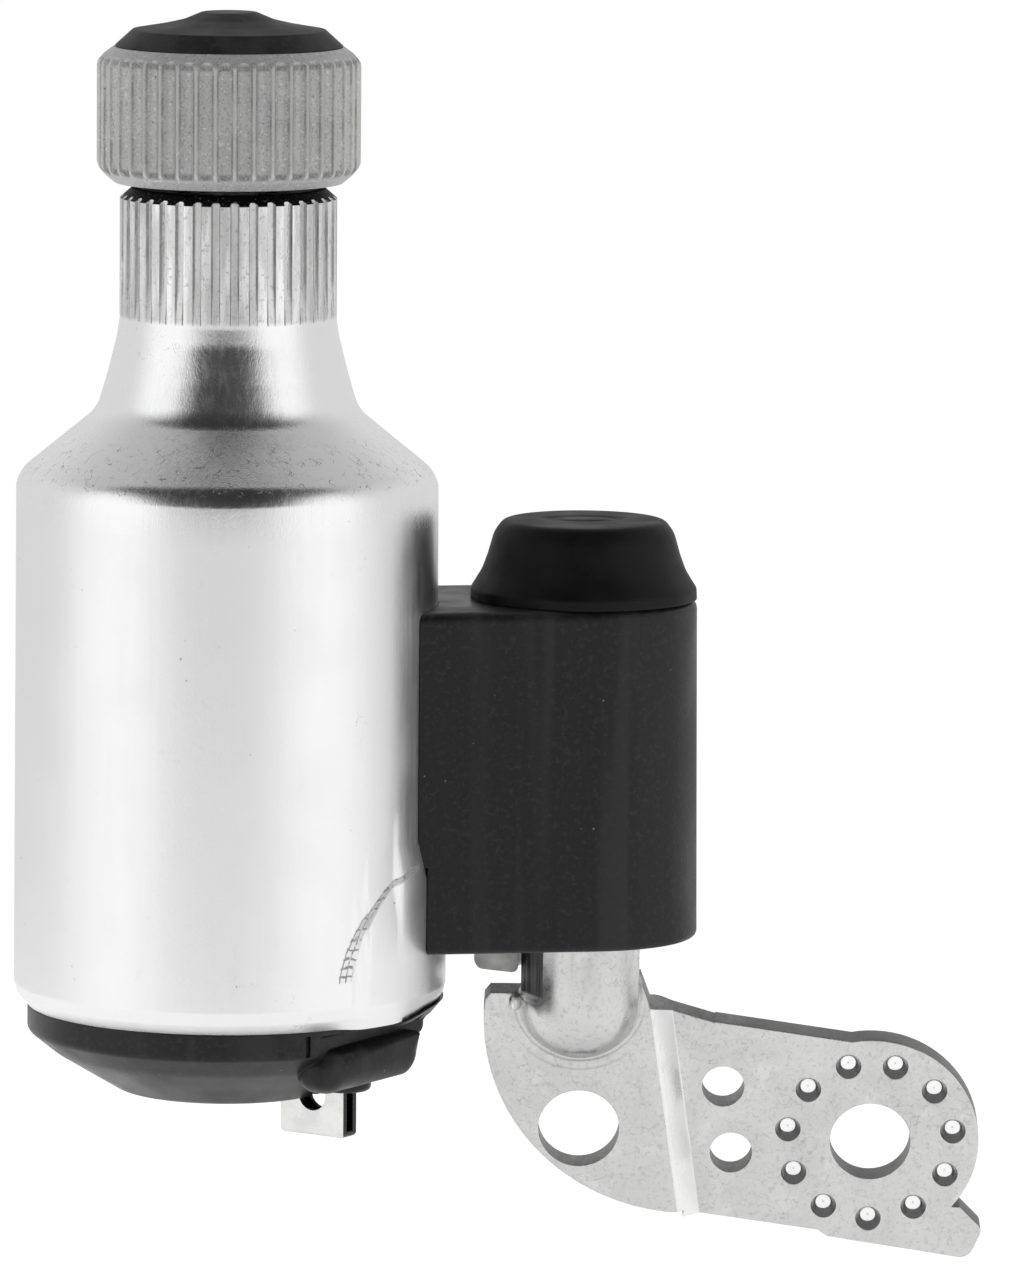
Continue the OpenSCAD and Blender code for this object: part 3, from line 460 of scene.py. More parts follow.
def bright_aluminium():
    """Drawn aluminium: fine lines along the bottle, soft clouds, pits, scratches and rubbed spots, with painted
    shade in the neck's grooves and on the bevel at its top.
    """
    f = Finish("bright_aluminium", bpy.context.scene.dynamo_metal.aluminium)
    here = f.point(ROLLER_AXIS)
    turn, radius, height = f.about(ROLLER_AXIS)
    streaks = f.noise(f.point(ROLLER_AXIS, (1, 1, 0.03)), 0.5, 4)
    clouds = f.noise(here, 9, 4)
    grain = f.noise(f.point(ROLLER_AXIS, (1, 1, 0.4)), 0.16, 2)
    marks = f.both(f.spread(f.cells(here, 1.7), 0.1, 0.03), f.blots(here, 4.5, 2, 0.56, 0.68))
    shine = f.sum("ADD", f.spread(clouds, 0.35, 0.7, 0.19, 0.27), f.spread(streaks, 0.4, 0.7, 0.0, 0.06))
    shine = f.sum("ADD", shine, f.spread(height, SHOULDER, SHOULDER - 4, 0.0, 0.09))
    f.paint(marks, 0.45)
    f.paint(f.blots(here, 2.2, 5, 0.62, 0.8, 0, 0.18), 0.76)

    # Scratches round the shoulder, and a few everywhere
    shoulder = f.within(height, SHOULDER + 0.6, 1.0, SHOULDER + 7.0, 3.4)
    worn = f.sum("MULTIPLY_ADD", shoulder, 0.8, f.blots(here, 7.0, 2, 0.6, 0.72, 0.0, 0.3))
    scratches = f.both(f.hair(here, 1.5), worn, f.blots(here, 1.1, 2, 0.45, 0.6))
    f.paint(scratches, 0.3)

    # Painted shade along the sides and in the floors of the neck's grooves, and the bevel at its top painted
    # near-black as shadow under the roller
    neck = f.within(height, NECK_LOW + 0.1, 0.6, NECK_HIGH + 0.6, 0.5)
    across = f.from_middle(turn, bpy.context.scene.dynamo_bottle.grooves)
    side = f.spread(f.off(across, 0.215), 0.05, 0.015)
    rough_line = f.blots(f.point(ROLLER_AXIS, (1, 1, 0.25)), 0.7, 3, 0.3, 0.55, 0.25, 0.85)
    f.paint(f.both(neck, side, rough_line), 0.2)
    f.paint(f.both(neck, f.spread(across, 0.23, 0.19), 0.5), 0.52)
    dull = f.blots(f.point(ROLLER_AXIS, (1, 1, 0.12)), 0.9, 4, 0.36, 0.6, 0.1, 0.8)
    f.paint(f.both(neck, dull), (0.58, 0.58, 0.575))
    f.paint(f.both(neck, f.blots(here, 0.45, 3, 0.58, 0.68, 0, 0.55)), 0.42)
    # The bevel at the neck's top is painted near-black as the roller's shadow
    bevel = f.both(f.spread(f.parts(f.normal())["Z"], 0.2, 0.45), f.spread(height, NECK_HIGH - 0.3, NECK_HIGH))
    f.paint(f.both(bevel, f.blots(here, 0.28, 2, 0.62, 0.7, 1.0, 0.72)), 0.012)

    # The scuffed press mark along the lower edge of the pressed-out area
    turned_past = f.sum("SUBTRACT", SWIVEL_TURN - BULGE_TURN, turn)
    past = f.sum("MAXIMUM", f.both(turned_past, BOTTLE_RADIUS * BULGE_SQUEEZE), 0.0)
    rise = f.sum("MAXIMUM", f.sum("SUBTRACT", height, BULGE_Z), 0.0)
    outside = f.sum("SUBTRACT", f.sum("SQRT", f.sum("MULTIPLY_ADD", past, past, f.both(rise, rise))), BULGE_R)
    width = f.spread(height, 15.0, 5.0, 0.5, 1.5)
    band = f.both(
        f.spread(outside, -0.2, 0.0), f.spread(f.sum("SUBTRACT", outside, width), 0.1, -0.05),
        f.spread(height, 4.8, 5.0), f.spread(past, 0.3, 1.2), f.spread(radius, 20.4, 20.7))
    shake = f.noise(here, 0.9, 2)
    rung = f.spread(f.off(f.sum("FRACT", f.sum("MULTIPLY_ADD", height, 1.1, shake)), 0.5), 0.22, 0.08)
    share = f.sum("DIVIDE", f.sum("MULTIPLY_ADD", shake, 0.3, outside), width)
    rail = f.spread(f.off(f.sum("FRACT", f.both(share, 2.0)), 0.5), 0.32, 0.44)
    scuff = f.both(f.sum("MAXIMUM", rung, rail), f.blots(here, 0.5, 3, 0.36, 0.52, 0.25, 1.0))
    scuff = f.both(band, f.sum("MAXIMUM", scuff, f.spread(height, 7.0, 11.0, 0.1, 0.5)))
    f.paint(f.both(scuff, 0.8), 0.26)

    relief = f.sum("ADD", f.both(streaks, 0.35), f.both(grain, f.sum("MULTIPLY_ADD", neck, 1.2, 0.9)))
    relief = f.sum("SUBTRACT", relief, f.sum("ADD", f.both(marks, 1.5), scratches))
    normal = f.bump(relief, 0.014, f.soft_edges(0.1))
    normal = f.bump(clouds, 0.05, normal)
    shine = f.sum("MULTIPLY_ADD", f.sum("MAXIMUM", scuff, bevel), 0.3, shine)
    return f.set(Metallic=1.0, Roughness=shine, Normal=normal)


def cast_zinc():
    """Tumbled cast zinc: matt, grainy, with dark pits, painted highlights on the ridges and painted shade on the
    flutes' sides and ends.
    """
    f = Finish("cast_zinc", bpy.context.scene.dynamo_metal.zinc)
    here = f.point(ROLLER_AXIS)
    turn, _, height = f.about(ROLLER_AXIS)
    grain = f.noise(here, 0.24, 5, 0.75)
    clouds = f.noise(here, 3.0, 3)
    f.paint(f.spread(clouds, 0.3, 0.7, 0, 0.3), (0.46, 0.46, 0.455))
    f.paint(f.spread(grain, 0.5, 0.34, 0, 0.8), (0.26, 0.26, 0.255))
    f.paint(f.both(f.blots(here, 0.35, 2, 0.6, 0.7), 0.7), (0.85, 0.85, 0.84))
    pits = f.both(f.spread(f.cells(here, 1.1), 0.13, 0.06), f.blots(here, 2.4, 2, 0.52, 0.6))
    f.paint(f.both(pits, 0.8), 0.08)

    # Painted shade on the flutes' sides, painted highlights on the ridges, and painted shade at the flutes' ends
    across = f.from_middle(turn, bpy.context.scene.dynamo_roller.flutes)
    fluted = f.within(height, ROLLER_LOW + 0.9, 0.4, ROLLER_HIGH - 0.8, 0.4)
    side = f.both(fluted, f.spread(f.off(across, 0.37), 0.06, 0.02))
    f.paint(f.both(side, f.spread(clouds, 0.35, 0.65, 0.15, 0.6)), 0.2)
    f.paint(f.both(fluted, f.spread(across, 0.4, 0.45), 0.55), (0.74, 0.74, 0.73))
    # Painted shade at the upper and lower ends of the flutes
    ends = f.sum("MAXIMUM", f.spread(height, ROLLER_HIGH - 1.75, ROLLER_HIGH - 1.4),
                 f.spread(height, ROLLER_LOW + 1.9, ROLLER_LOW + 1.5))
    flute_end_shade = f.both(ends, fluted, f.spread(across, 0.4, 0.25), f.spread(grain, 0.35, 0.6, 0.1, 0.7))
    f.paint(flute_end_shade, 0.1)
    normal = f.bump(grain, 0.08, f.soft_edges(0.05))
    return f.set(Metallic=0.82, Roughness=f.spread(grain, 0.3, 0.7, 0.42, 0.6), Normal=normal)


def moulded_plastic(name="moulded_plastic", grain_depth=0.02, roughness=(0.38, 0.5), dust=0.5):
    """Black moulded plastic: fine spark texture, soft marks and a little dust."""
    f = Finish(name, bpy.context.scene.dynamo_black.plastic)
    here = f.point(ROLLER_AXIS)
    grain = f.noise(here, 0.25, 3, 0.6)
    mottle = f.noise(here, 0.6, 4, 0.7)
    clouds = f.noise(here, 7.0, 3)
    bands = f.noise(f.point(ROLLER_AXIS, (1, 1, 0.05)), 4.5, 2)
    f.paint(f.spread(clouds, 0.35, 0.75, 0, 0.5), (0.014, 0.014, 0.0145))
    f.paint(f.spread(mottle, 0.5, 0.68, 0, 0.6), (0.032, 0.032, 0.0325))
    f.paint(f.spread(bands, 0.48, 0.62, 0, 0.6), (0.031, 0.031, 0.0315))
    f.paint(f.both(f.spread(f.cells(here, 2.1), 0.06, 0.03), f.blots(here, 5.0, 2, 0.5, 0.58), dust), 0.42)
    f.paint(f.both(f.hair(here, 2.6, 0.006), f.blots(here, 6.0, 2, 0.6, 0.7), 0.35), 0.09)
    f.paint(f.both(f.edge_wear(0.3), 0.35), 0.04)
    normal = f.bump(grain, grain_depth, f.soft_edges(0.25))
    shine = f.sum("ADD", f.spread(clouds, 0.3, 0.7, *roughness), f.spread(bands, 0.3, 0.7, -0.05, 0.06))
    return f.set(Roughness=shine, IOR=1.42, Specular_IOR_Level=0.42, Normal=normal)


def dome_rubber():
    """Black rubber with a bloom that greys it in soft clouds."""
    f = Finish("dome_rubber", bpy.context.scene.dynamo_black.rubber)
    here = f.point(SWIVEL_AXIS)
    grain = f.noise(here, 0.2, 2)
    clouds = f.noise(here, 4.0, 4)
    f.paint(f.spread(clouds, 0.4, 0.75, 0, 0.6), 0.008)
    normal = f.bump(grain, 0.012, f.soft_edges(0.2))
    return f.set(Roughness=f.spread(clouds, 0.3, 0.7, 0.46, 0.58), Specular_IOR_Level=0.22, Normal=normal)


def plated_steel(name="plated_steel", pressed=False):
    """Zinc-plated steel: mottled, with fine dents; a pressed sheet has dark sheared edges, painted highlights on
    its joggle and in its dimples' bottoms, and painted shade on the dimples' walls, the post's flat and under the
    post's root.
    """
    f = Finish(name, bpy.context.scene.dynamo_metal.plating)
    here = f.point(SWIVEL_AXIS)
    mottle = f.noise(here, 5.0, 5, 0.6)
    grain = f.noise(here, 0.35, 4, 0.65)
    marks = f.both(f.spread(f.cells(here, 1.3), 0.16, 0.02), f.blots(here, 3.5, 2, 0.52, 0.66))
    f.paint(f.spread(mottle, 0.35, 0.7, 0, 0.4), (0.6, 0.6, 0.595))
    f.paint(f.blots(here, 3.0, 4, 0.56, 0.72, 0, 0.35), (0.9, 0.9, 0.895))
    f.paint(f.both(marks, 0.55), (0.34, 0.33, 0.32))
    f.paint(f.spread(f.noise(here, 0.5, 5, 0.75), 0.5, 0.66, 0, 0.5), (0.42, 0.42, 0.415))
    f.paint(f.both(f.hair(here, 2.4, 0.007), f.blots(here, 5.0, 2, 0.48, 0.6), 0.5), (0.33, 0.33, 0.325))
    f.paint(f.both(f.edge_wear(0.2), 0.45), (0.95, 0.95, 0.94))
    relief = f.sum("SUBTRACT", f.both(grain, 0.6), marks)
    shine = f.spread(mottle, 0.3, 0.7, 0.2, 0.36)
    if not pressed:
        normal = f.bump(mottle, 0.03, f.bump(relief, 0.012, f.soft_edges(0.15)))
        return f.set(Metallic=1.0, Roughness=shine, Normal=normal)

    # A painted highlight on the joggle's sloping face, painted shade on the walls of the dimples, and dark
    # sheared edges
    face_normal = f.normal("True Normal")
    facing = f.sum("ABSOLUTE", f.along(face_normal, SHEET_OUT))
    _, radius, height = f.about(SWIVEL_AXIS)
    off_post = f.sum("MAXIMUM", f.spread(radius, 6.1, 6.4), f.spread(height, -6.6, -7.0))
    right = f.parts(f.point(SWIVEL_AXIS, (1000, 1000, 1000)))["X"]
    outer_plate = f.spread(right, 16, 18)
    joggle_highlight = f.both(f.within(facing, 0.4, 0.1, 0.9, 0.1), off_post, f.spread(right, 18, 16, 0, 0.9))
    f.paint(joggle_highlight, (0.97, 0.97, 0.965))
    # Painted shade on the walls of the dimples
    f.paint(f.both(f.spread(facing, 0.88, 0.7), outer_plate, 0.8), (0.3, 0.3, 0.298))
    sheared = f.both(f.spread(facing, 0.36, 0.24), off_post)
    torn = f.noise(f.point(SWIVEL_AXIS, (1, 0.4, 1)), 0.5, 4, 0.7)
    f.paint(f.both(sheared, f.spread(torn, 0.3, 0.7, 0.98, 0.72)), (0.29, 0.29, 0.287))

    # The long flat on the post is painted dark as shade, with streaks along it
    level = f.along(face_normal, (math.cos(FLAT_TURN), math.sin(FLAT_TURN), 0))
    flat = f.both(f.spread(level, 0.985, 0.995), f.spread(radius, 6.1, 6.0), f.spread(height, 0.1, 0.5))
    streaks = f.noise(f.point(SWIVEL_AXIS, (1, 1, 0.04)), 0.45, 4)
    f.paint(f.both(flat, 0.97), f.blend(f.spread(streaks, 0.35, 0.65), 0.06, 0.2))

    # The bottoms of the dimples are painted bright as a highlight
    from_root = f.point(POST_ROOT)
    out = f.along(from_root, SHEET_OUT)
    deep = f.spread(f.off(out, -(JOGGLE + PIP_DEPTH) * MM), 0.5 * MM, 0.3 * MM)
    bottom = f.both(deep, f.spread(facing, 0.8, 0.95), outer_plate)
    f.paint(bottom, 1.0)

    # The sheet flows into the post's root, with rings where the root was pressed, and painted shade under the
    # root's ball
    away = f.sum("LENGTH", from_root, kind="ShaderNodeVectorMath", output="Value")
    face = f.spread(f.sum("ABSOLUTE", out), 0.5 * MM, 0.2 * MM)
    rings = f.sum("SINE", f.both(away, math.tau / (0.95 * MM)))
    rings = f.both(rings, face, f.spread(away, 10.2 * MM, 6.6 * MM))
    edge_radius = f.spread(away, 7.8 * MM, 6.2 * MM, 0.2 * MM, 0.9 * MM)
    # Painted shade under the post's root
    under = f.both(f.spread(height, -2.4, -6.0), f.spread(away, 6.4 * MM, 6.1 * MM), 0.6)
    f.paint(under, 0.32)
    normal = f.node("ShaderNodeBevel", {"samples": 6}, Radius=edge_radius).outputs[0]
    for raised, depth in ((rings, 0.06), (relief, 0.012), (f.both(sheared, torn), 0.12), (mottle, 0.03)):
        normal = f.bump(raised, depth, normal)
    shine = f.sum("MULTIPLY_ADD", bottom, -0.1, shine)
    shine = f.sum("MULTIPLY_ADD", f.sum("MAXIMUM", sheared, flat), 0.3, shine)
    return f.set(Metallic=1.0, Roughness=shine, Normal=normal)


def plain_metal(name, colour, worn, rough, grain_size=0.4, depth=0.01):
    """An unplated metal for the inner pieces: two tones and a fine grain."""
    f = Finish(name, colour)
    here = f.point(ROLLER_AXIS)
    clouds = f.noise(here, 4.0, 4)
    f.paint(f.spread(clouds, 0.35, 0.7), worn)
    normal = f.bump(f.noise(here, grain_size, 3), depth, f.soft_edges(0.1))
    return f.set(Metallic=1.0, Roughness=f.spread(clouds, 0.3, 0.7, rough, rough + 0.12), Normal=normal)


def plain_solid(name, colour, worn, rough, grain_size=0.3, depth=0.02):
    """A material that isn't metal, for the inner pieces."""
    f = Finish(name, colour)
    here = f.point(ROLLER_AXIS)
    grain = f.noise(here, grain_size, 4, 0.7)
    f.paint(f.blots(here, 3.0, 4, 0.35, 0.7), worn)
    normal = f.bump(grain, depth, f.soft_edges(0.15))
    return f.set(Roughness=f.spread(grain, 0.3, 0.7, rough, rough + 0.1), Normal=normal)


def wound_copper():
    """Enamelled wire: fine even turns round the coil."""
    f = Finish("wound_copper", (0.3, 0.1, 0.04))
    wire = 0.25
    turns = f.node("ShaderNodeTexWave", {"bands_direction": "Z"}, Vector=f.point(ROLLER_AXIS, (0, 0, 1)),
                   Scale=1000 / wire / 6.283, Distortion=0.4, Detail=1.0).outputs["Fac"]
    f.paint(turns, (0.72, 0.32, 0.14))
    return f.set(Metallic=0.9, Roughness=0.35, Normal=f.bump(turns, 0.1))


def folded_strip():
    """Tinned strip, folded double: its side is painted near-black as shade, for the gap between the layers."""
    f = Finish("folded_strip", (0.83, 0.83, 0.82))
    here = f.point(ROLLER_AXIS)
    clouds = f.noise(here, 3.0, 4)
    f.paint(f.spread(clouds, 0.35, 0.7), (0.72, 0.72, 0.7))
    # The strip's side, and a band within a millimetre of its middle, are painted near-black as shade
    c, s = math.cos(TERMINAL_TURN), math.sin(TERMINAL_TURN)
    side = f.spread(f.sum("ABSOLUTE", f.along(f.normal(), (c, s, 0))), 0.85, 0.95)
    edge = f.spread(f.sum("ABSOLUTE", f.along(here, (-s, c, 0))), 1.05 * MM, 0.95 * MM)
    f.paint(f.both(f.sum("MAXIMUM", side, edge), 0.96), 0.03)
    normal = f.bump(f.noise(here, 0.4, 3), 0.01, f.soft_edges(0.06))
    return f.set(Metallic=1.0, Roughness=f.spread(clouds, 0.3, 0.7, 0.22, 0.34), Normal=normal)


# Operators


def bottle_outline():
    """Radius and height of the bottle's wall, with close points where it is pressed or grooved."""
    low, high, rim_radius = math.radians(11), math.radians(52), 3.5
    rim = []
    for k in range(9):
        up = low + (high - low) * k / 8
        rim.append((20.95 - rim_radius * (math.cos(low) - math.cos(up)),
                    SHOULDER + 0.05 + rim_radius * (math.sin(up) - math.sin(low)), 0))
    outer = [
        (19.75, 0, 0.15), (20.8, 1.15, 0.8), (BOTTLE_RADIUS, 2.3, 1.2), *rim, (12.99, 59.6, 4), (11.98, 63.0, 15),
        (11.02, 66.8, 9), (NECK_RADIUS, NECK_LOW, 3), (NECK_RADIUS, NECK_HIGH, 0.1), (9.6, NECK_HIGH + 1, 0.2)]
    inner = [(8.95, NECK_HIGH + 1, 0), (8.95, 68.3, 0), (11.9, 59.1, 1), (19.65, 52.6, 1), (20.15, 2.3, 0.5),
             (18.75, 0, 0)]

    def longest(middle):
        if middle.x > 10 and NECK_LOW < middle.y < 70.2:
            return 0.18
        if middle.x > 9.5 and middle.y > NECK_HIGH - 0.1:
            return 0.14
        if middle.x > 20.4 and middle.y < 16:
            return 0.42
        return 4.0

    return stepped(rounded(outer + inner, 8), longest)


class DYNAMO_OT_bottle(bpy.types.Operator):
    """Models the bottle with its grooved neck and the area pressed out under the tower"""

    bl_idname = "dynamo.bottle"
    bl_label = "Bottle"

    def execute(self, context):
        settings = context.scene.dynamo_bottle
        count, deep = settings.grooves, settings.groove_depth / MM
        out = settings.pressed_out / MM
        # Where the points of one groove are, so that some stand on its sides
        places = [0, 0.10, 0.22, 0.262, 0.29, 0.34, 0.42, 0.5]
        places += [1 - place for place in places[-2:0:-1]]
        each, groove_half = len(places), 0.238
        piece = turned("bottle", bottle_outline(), ROLLER_AXIS, each * count)

        def rule(r, turn, z):
            step = round(turn / math.tau * count * each)
            place = places[step % each]
            turn = (step // each + place) * math.tau / count
            if 9.3 < r < 11.5 and z > NECK_LOW - 0.1:
                away = abs(place - 0.5)
                cut = min(max((groove_half - away) / 0.05, 0), 1)
                end = 0.9 * math.sqrt(max(1 - (away / groove_half) ** 2, 0))
                cut *= ease((z - 70.05 + end) / 0.3)
                r = min(r, NECK_RADIUS - deep * cut) if cut > 0 else r
            if r > 19.3 and z < 16 and (r > 20.4 or z < 1.2):
                side = from_swivel(turn)
                past = max(side - BULGE_TURN, 0) * BOTTLE_RADIUS * BULGE_SQUEEZE
                inside = BULGE_R - math.hypot(past, max(z - BULGE_Z, 0))
                gain = max(moved_out(BOTTLE_RADIUS, out, side) - BOTTLE_RADIUS, 0) + (BOTTLE_RADIUS - r) * 0.55
                r += gain * ease(inside / (0.45 + 2.5 * ease((5.2 - z) / 3)) + 0.3)
                z += 0.8 * max(1 - z / 2.3, 0) * ease((LIP_TURN - side) / 0.35)
            return r, turn, z

        reshape(piece, ROLLER_AXIS, rule)
        finished(piece, "dynamo", "bottle_aluminium", bright_aluminium(), "bottle_shell")
        return {"FINISHED"}


class DYNAMO_OT_roller(bpy.types.Operator):
    """Models the fluted drive roller and its black cap"""

    bl_idname = "dynamo.roller"
    bl_label = "Roller"

    def execute(self, context):
        settings = context.scene.dynamo_roller
        count, deep = settings.flutes, settings.flute_depth / MM
        low, high, wide = ROLLER_LOW, ROLLER_HIGH, ROLLER_RADIUS
        outline = rounded([
            (9.4, low, 0.2), (11.3, low, 0.15), (12.2, low + 0.75, 1.0), (wide, low + 1.7, 1.2),
            (wide, high - 1.5, 1.0), (12.35, high - 0.7, 0.6), (11.4, high, 0.15), (9.4, high, 0),
            (9.4, low + 5.8, 0.3), (2.55, low + 5.8, 0), (2.55, low + 1.8, 0), (9.4, low + 1.8, 0.3)], 5)

        def longest(middle):
            if middle.x < 11:
                return 2.0
            return 0.12 if middle.y < low + 2.2 or middle.y > high - 2.2 else 1.5

        piece = turned("drive_roller", stepped(outline, longest), ROLLER_AXIS, 10 * count)

        def rule(r, turn, z):
            across = abs(turn / math.tau * count % 1 - 0.5) * 2
            ridge = 0.15
            share = min(max((1 - across) / (1 - ridge), 0), 1) if across < 1 - ridge / 2 else 0
            valley = wide - deep * (1 - (1 - share) ** 1.6)
            return (min(r, valley) if r > 11.2 else r), turn, z

        reshape(piece, ROLLER_AXIS, rule)
        finished(piece, "rotor", "roller_zinc", cast_zinc(), "roller", angle=50)

        top = high + 3.5
        hood = turned("roller_hood", rounded([
            (0, high - 1.2, 0), (7.8, high - 1.2, 0), (7.8, high - 3, 0), (9.35, high - 3, 0), (9.35, high, 0),
            (11.4, high, 0.1), (9.55, high + 1.68, 0.12), (8.4, high + 1.87, 3), (6.5, high + 2.2, 6),
            (4.5, high + 2.66, 5), (2.7, top - 0.08, 0.9), (0, top, 0)], 7), ROLLER_AXIS)
        plastic = moulded_plastic("hood_plastic", 0.012, (0.5, 0.6), 0.35)
        finished(hood, "rotor", "black_plastic", plastic, "roller_cap")
        return {"FINISHED"}


class DYNAMO_OT_button_dome(bpy.types.Operator):
    """Models the rubber dome over the release button"""

    bl_idname = "dynamo.button_dome"
    bl_label = "Button dome"

    def execute(self, context):
        foot, top = DOME_FOOT, DOME_TOP
        outline = rounded([
            (0, top - 1, 0), (7.45, top - 1, 0.5), (8.4, foot + 4.1, 0.5), (8.4, foot + 1.9, 0.5), (9.5, foot, 0),
            (11.34, foot, 0), (11.3, foot + 1.0, 0.7), (10.2, foot + 2.8, 5), (9.62, foot + 4.4, 6),
            (9.0, foot + 6.6, 3), (8.1, top - 0.05, 1.1), (7.2, top, 0.6), (0, top, 0)], 7)
        dome = turned("button_dome", stepped(outline, lambda middle: 0.35 if middle.y > top - 0.3 else 1.5),
                      SWIVEL_AXIS, 144)

        # A plain oval ring is pressed into the top
        for vertex in dome.data.vertices:
            p = (vertex.co - SWIVEL_AXIS) / MM
            if p.z > top - 0.2 and math.hypot(p.x, p.y) < 6.8:
                away = math.hypot(p.x / 3.4, (p.y - 0.8) / 1.9)
                vertex.co.z -= 0.16 * MM * ease(1 - abs(away - 1) * 2.6)
        finished(dome, "dynamo", "black_rubber", dome_rubber(), "button_boot", angle=60)
        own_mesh(dome)
        return {"FINISHED"}


class DYNAMO_OT_cap(bpy.types.Operator):
    """Models the bottom cap: its flat, the round-nosed bar, the boss and the terminal's slot"""

    bl_idname = "dynamo.cap"
    bl_label = "Bottom cap"

    def execute(self, context):
        foot = CAP_FOOT
        outline = rounded([
            (0, foot, 0), (10.6, foot, 3), (17.2, -4.6, 9), (19.8, -2.5, 0.9), (19.8, 0, 0), (18.7, 0, 0),
            (18.7, 1.7, 0), (19.95, 1.7, 0), (19.95, 4.3, 0), (17.3, 4.3, 0), (17.3, 1.6, 0), (16.2, 1.2, 0),
            (16.2, -2.2, 0), (9.9, foot + 1.9, 0), (0, foot + 1.9, 0)], 8)

        def longest(middle):
            if middle.x > 19 and -0.7 < middle.y < -0.3:
                return 0.12
            return 0.45 if middle.x > 16.9 and middle.y < 0 else 3.0

        cap = turned("bottle_cap", stepped(outline, longest), ROLLER_AXIS, 180)
        out = context.scene.dynamo_bottle.pressed_out / MM

        def flatten(r, turn, z):
            # The lip under the bottle's pressed-out area, and the flat that the bar stands on
            if r > 19 and -1.7 < z < 0.1:
                side, share = from_swivel(turn), (z + 1.7) / 1.7
                lip = moved_out(18.9 + 2.05 * share, out, side)
                r += max(lip - r, 0) * ease((LIP_TURN - side) / 0.1)
                z += 0.75 * share * ease((LIP_TURN - side) / 0.35)
            facing = math.cos(turn - TERMINAL_TURN)
            if -6.0 < z < -0.5 and facing > 0.5:
                r = min(r, CAP_FLAT / facing)
            return r, turn, z

        reshape(cap, ROLLER_AXIS, flatten)

        boss_outline = [(0, foot + 1.15, 0), (2.65, foot + 1.15, 0.5), (2.65, -4, 0), (0, -4, 0)]
        boss = turned("boss", rounded(boss_outline, 4), by_terminal(14.4, 0, 0), 48)
        combined(cap, boss, "UNION")

        # The bar starts as a ball whose eighths are drawn apart; its foot falls a little to the left
        middle = [(low + high) / 2 for low, high in CAP_BAR]
        half = [(high - low) / 2 for low, high in CAP_BAR]

        def drawn_apart(p):
            sides = [0 if abs(x) < 1e-4 else math.copysign(1, x) for x in p]
            square = (sides[0] + 1) / 2
            radii = (2.5, 2.4 - 1.6 * square, 2.1 + 0.1 * square)
            if sides[2] > 0:
                radii = (2.5 - 2.0 * square, 2.4 - 2.0 * square, 2.1 - 1.7 * square)
            along, away, up = [middle[i] + sides[i] * (half[i] - radii[i]) + radii[i] * p[i] for i in range(3)]
            return by_terminal(away, along, up + 0.02 * (1 - sides[2]) * along)

        bar = shaped(bpy.ops.mesh.primitive_uv_sphere_add, drawn_apart, segments=64, ring_count=32, radius=1)
        edit(FACE_OUT)
        combined(cap, bar, "UNION")

        # The terminal's slot, its neck's slot, and the short upright groove left of the bar
        for turn, away, wide, deep, low, high in (
                (TERMINAL_TURN, 11.3, 7.8, 2.6, foot - 1, -6.3), (TERMINAL_TURN, 11.3, 4.7, 2.6, foot - 1, -4),
                (math.radians(-64), 20.25, 2, 0.5, -2.5, -0.4)):
            slot = shaped(bpy.ops.mesh.primitive_cube_add, lambda p: by_terminal(
                away + p.x * wide, p.y * deep, (low + high) / 2 + p.z * (high - low), turn), size=1)
            combined(cap, slot, "DIFFERENCE")
        plastic = moulded_plastic("cap_gloss", 0.012, (0.3, 0.42), 0.35)
        finished(cap, "dynamo", "black_plastic", plastic, "bottom_cap")
        return {"FINISHED"}


class DYNAMO_OT_springs(bpy.types.Operator):
    """Models the springs of the button and the terminal as pieces of their own"""

    bl_idname = "dynamo.springs"
    bl_label = "Springs"

    def execute(self, context):
        wire = plain_metal("shortened_wire", (0.36, 0.36, 0.37), 0.28, 0.3)
        for node, joint in (("button_spring", "button_press"), ("terminal_spring", "terminal_pull")):
            coil = merged_copy(node, joint.split("_")[0] + "_coil")
            finished(coil, "dynamo", "spring_steel", wire, node, angle=60)
            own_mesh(coil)
        return {"FINISHED"}


class DYNAMO_OT_inner_pieces(bpy.types.Operator):
    """Gives every carried-over solid its finish"""

    bl_idname = "dynamo.inner_pieces"
    bl_label = "Finish the solids"

    def execute(self, context):
        finishes = {
            moulded_plastic(): ["swivel_tower", "release_button"],
            dome_rubber(): ["slinger_ring"],
            plated_steel(): ["tower_screws", "roller_nut"],
            plain_metal("sleeve_steel", (0.4, 0.4, 0.395), (0.26, 0.26, 0.255), 0.38, 0.6, 0.03): [
                "pivot_sleeve"],
            folded_strip(): ["terminal_strip"],
            plain_metal("spring_wire", (0.36, 0.36, 0.37), 0.28, 0.3): ["swing_spring", "retaining_ring"],
            plain_metal("ground_shaft", 0.66, 0.58, 0.18, 0.15, 0.004): ["rotor_shaft"],
            plain_metal("pole_sheet", 0.42, (0.3, 0.29, 0.28), 0.4): [
                "lower_pole_cup", "upper_pole_cup", "bearing_plate", "neck_bearing_holder"],
            plain_metal("oiled_bronze", (0.5, 0.33, 0.15), (0.36, 0.23, 0.1), 0.42, 0.2, 0.02): [
                "upper_bush", "lower_bush"],
            plain_solid("natural_nylon", (0.72, 0.66, 0.48), (0.62, 0.55, 0.38), 0.42): [
                "coil_bobbin", "magnet_hub"],
            plain_solid("ferrite", (0.05, 0.05, 0.055), 0.09, 0.5): ["rotor_magnet"],
            plain_solid("oiled_felt", (0.42, 0.36, 0.24), (0.55, 0.48, 0.34), 0.85, 0.15, 0.2): ["felt_ring"],
            wound_copper(): ["coil_winding"],
        }
        for material, nodes in finishes.items():
            for node in nodes:
                put_finish(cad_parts[node], material)
        return {"FINISHED"}


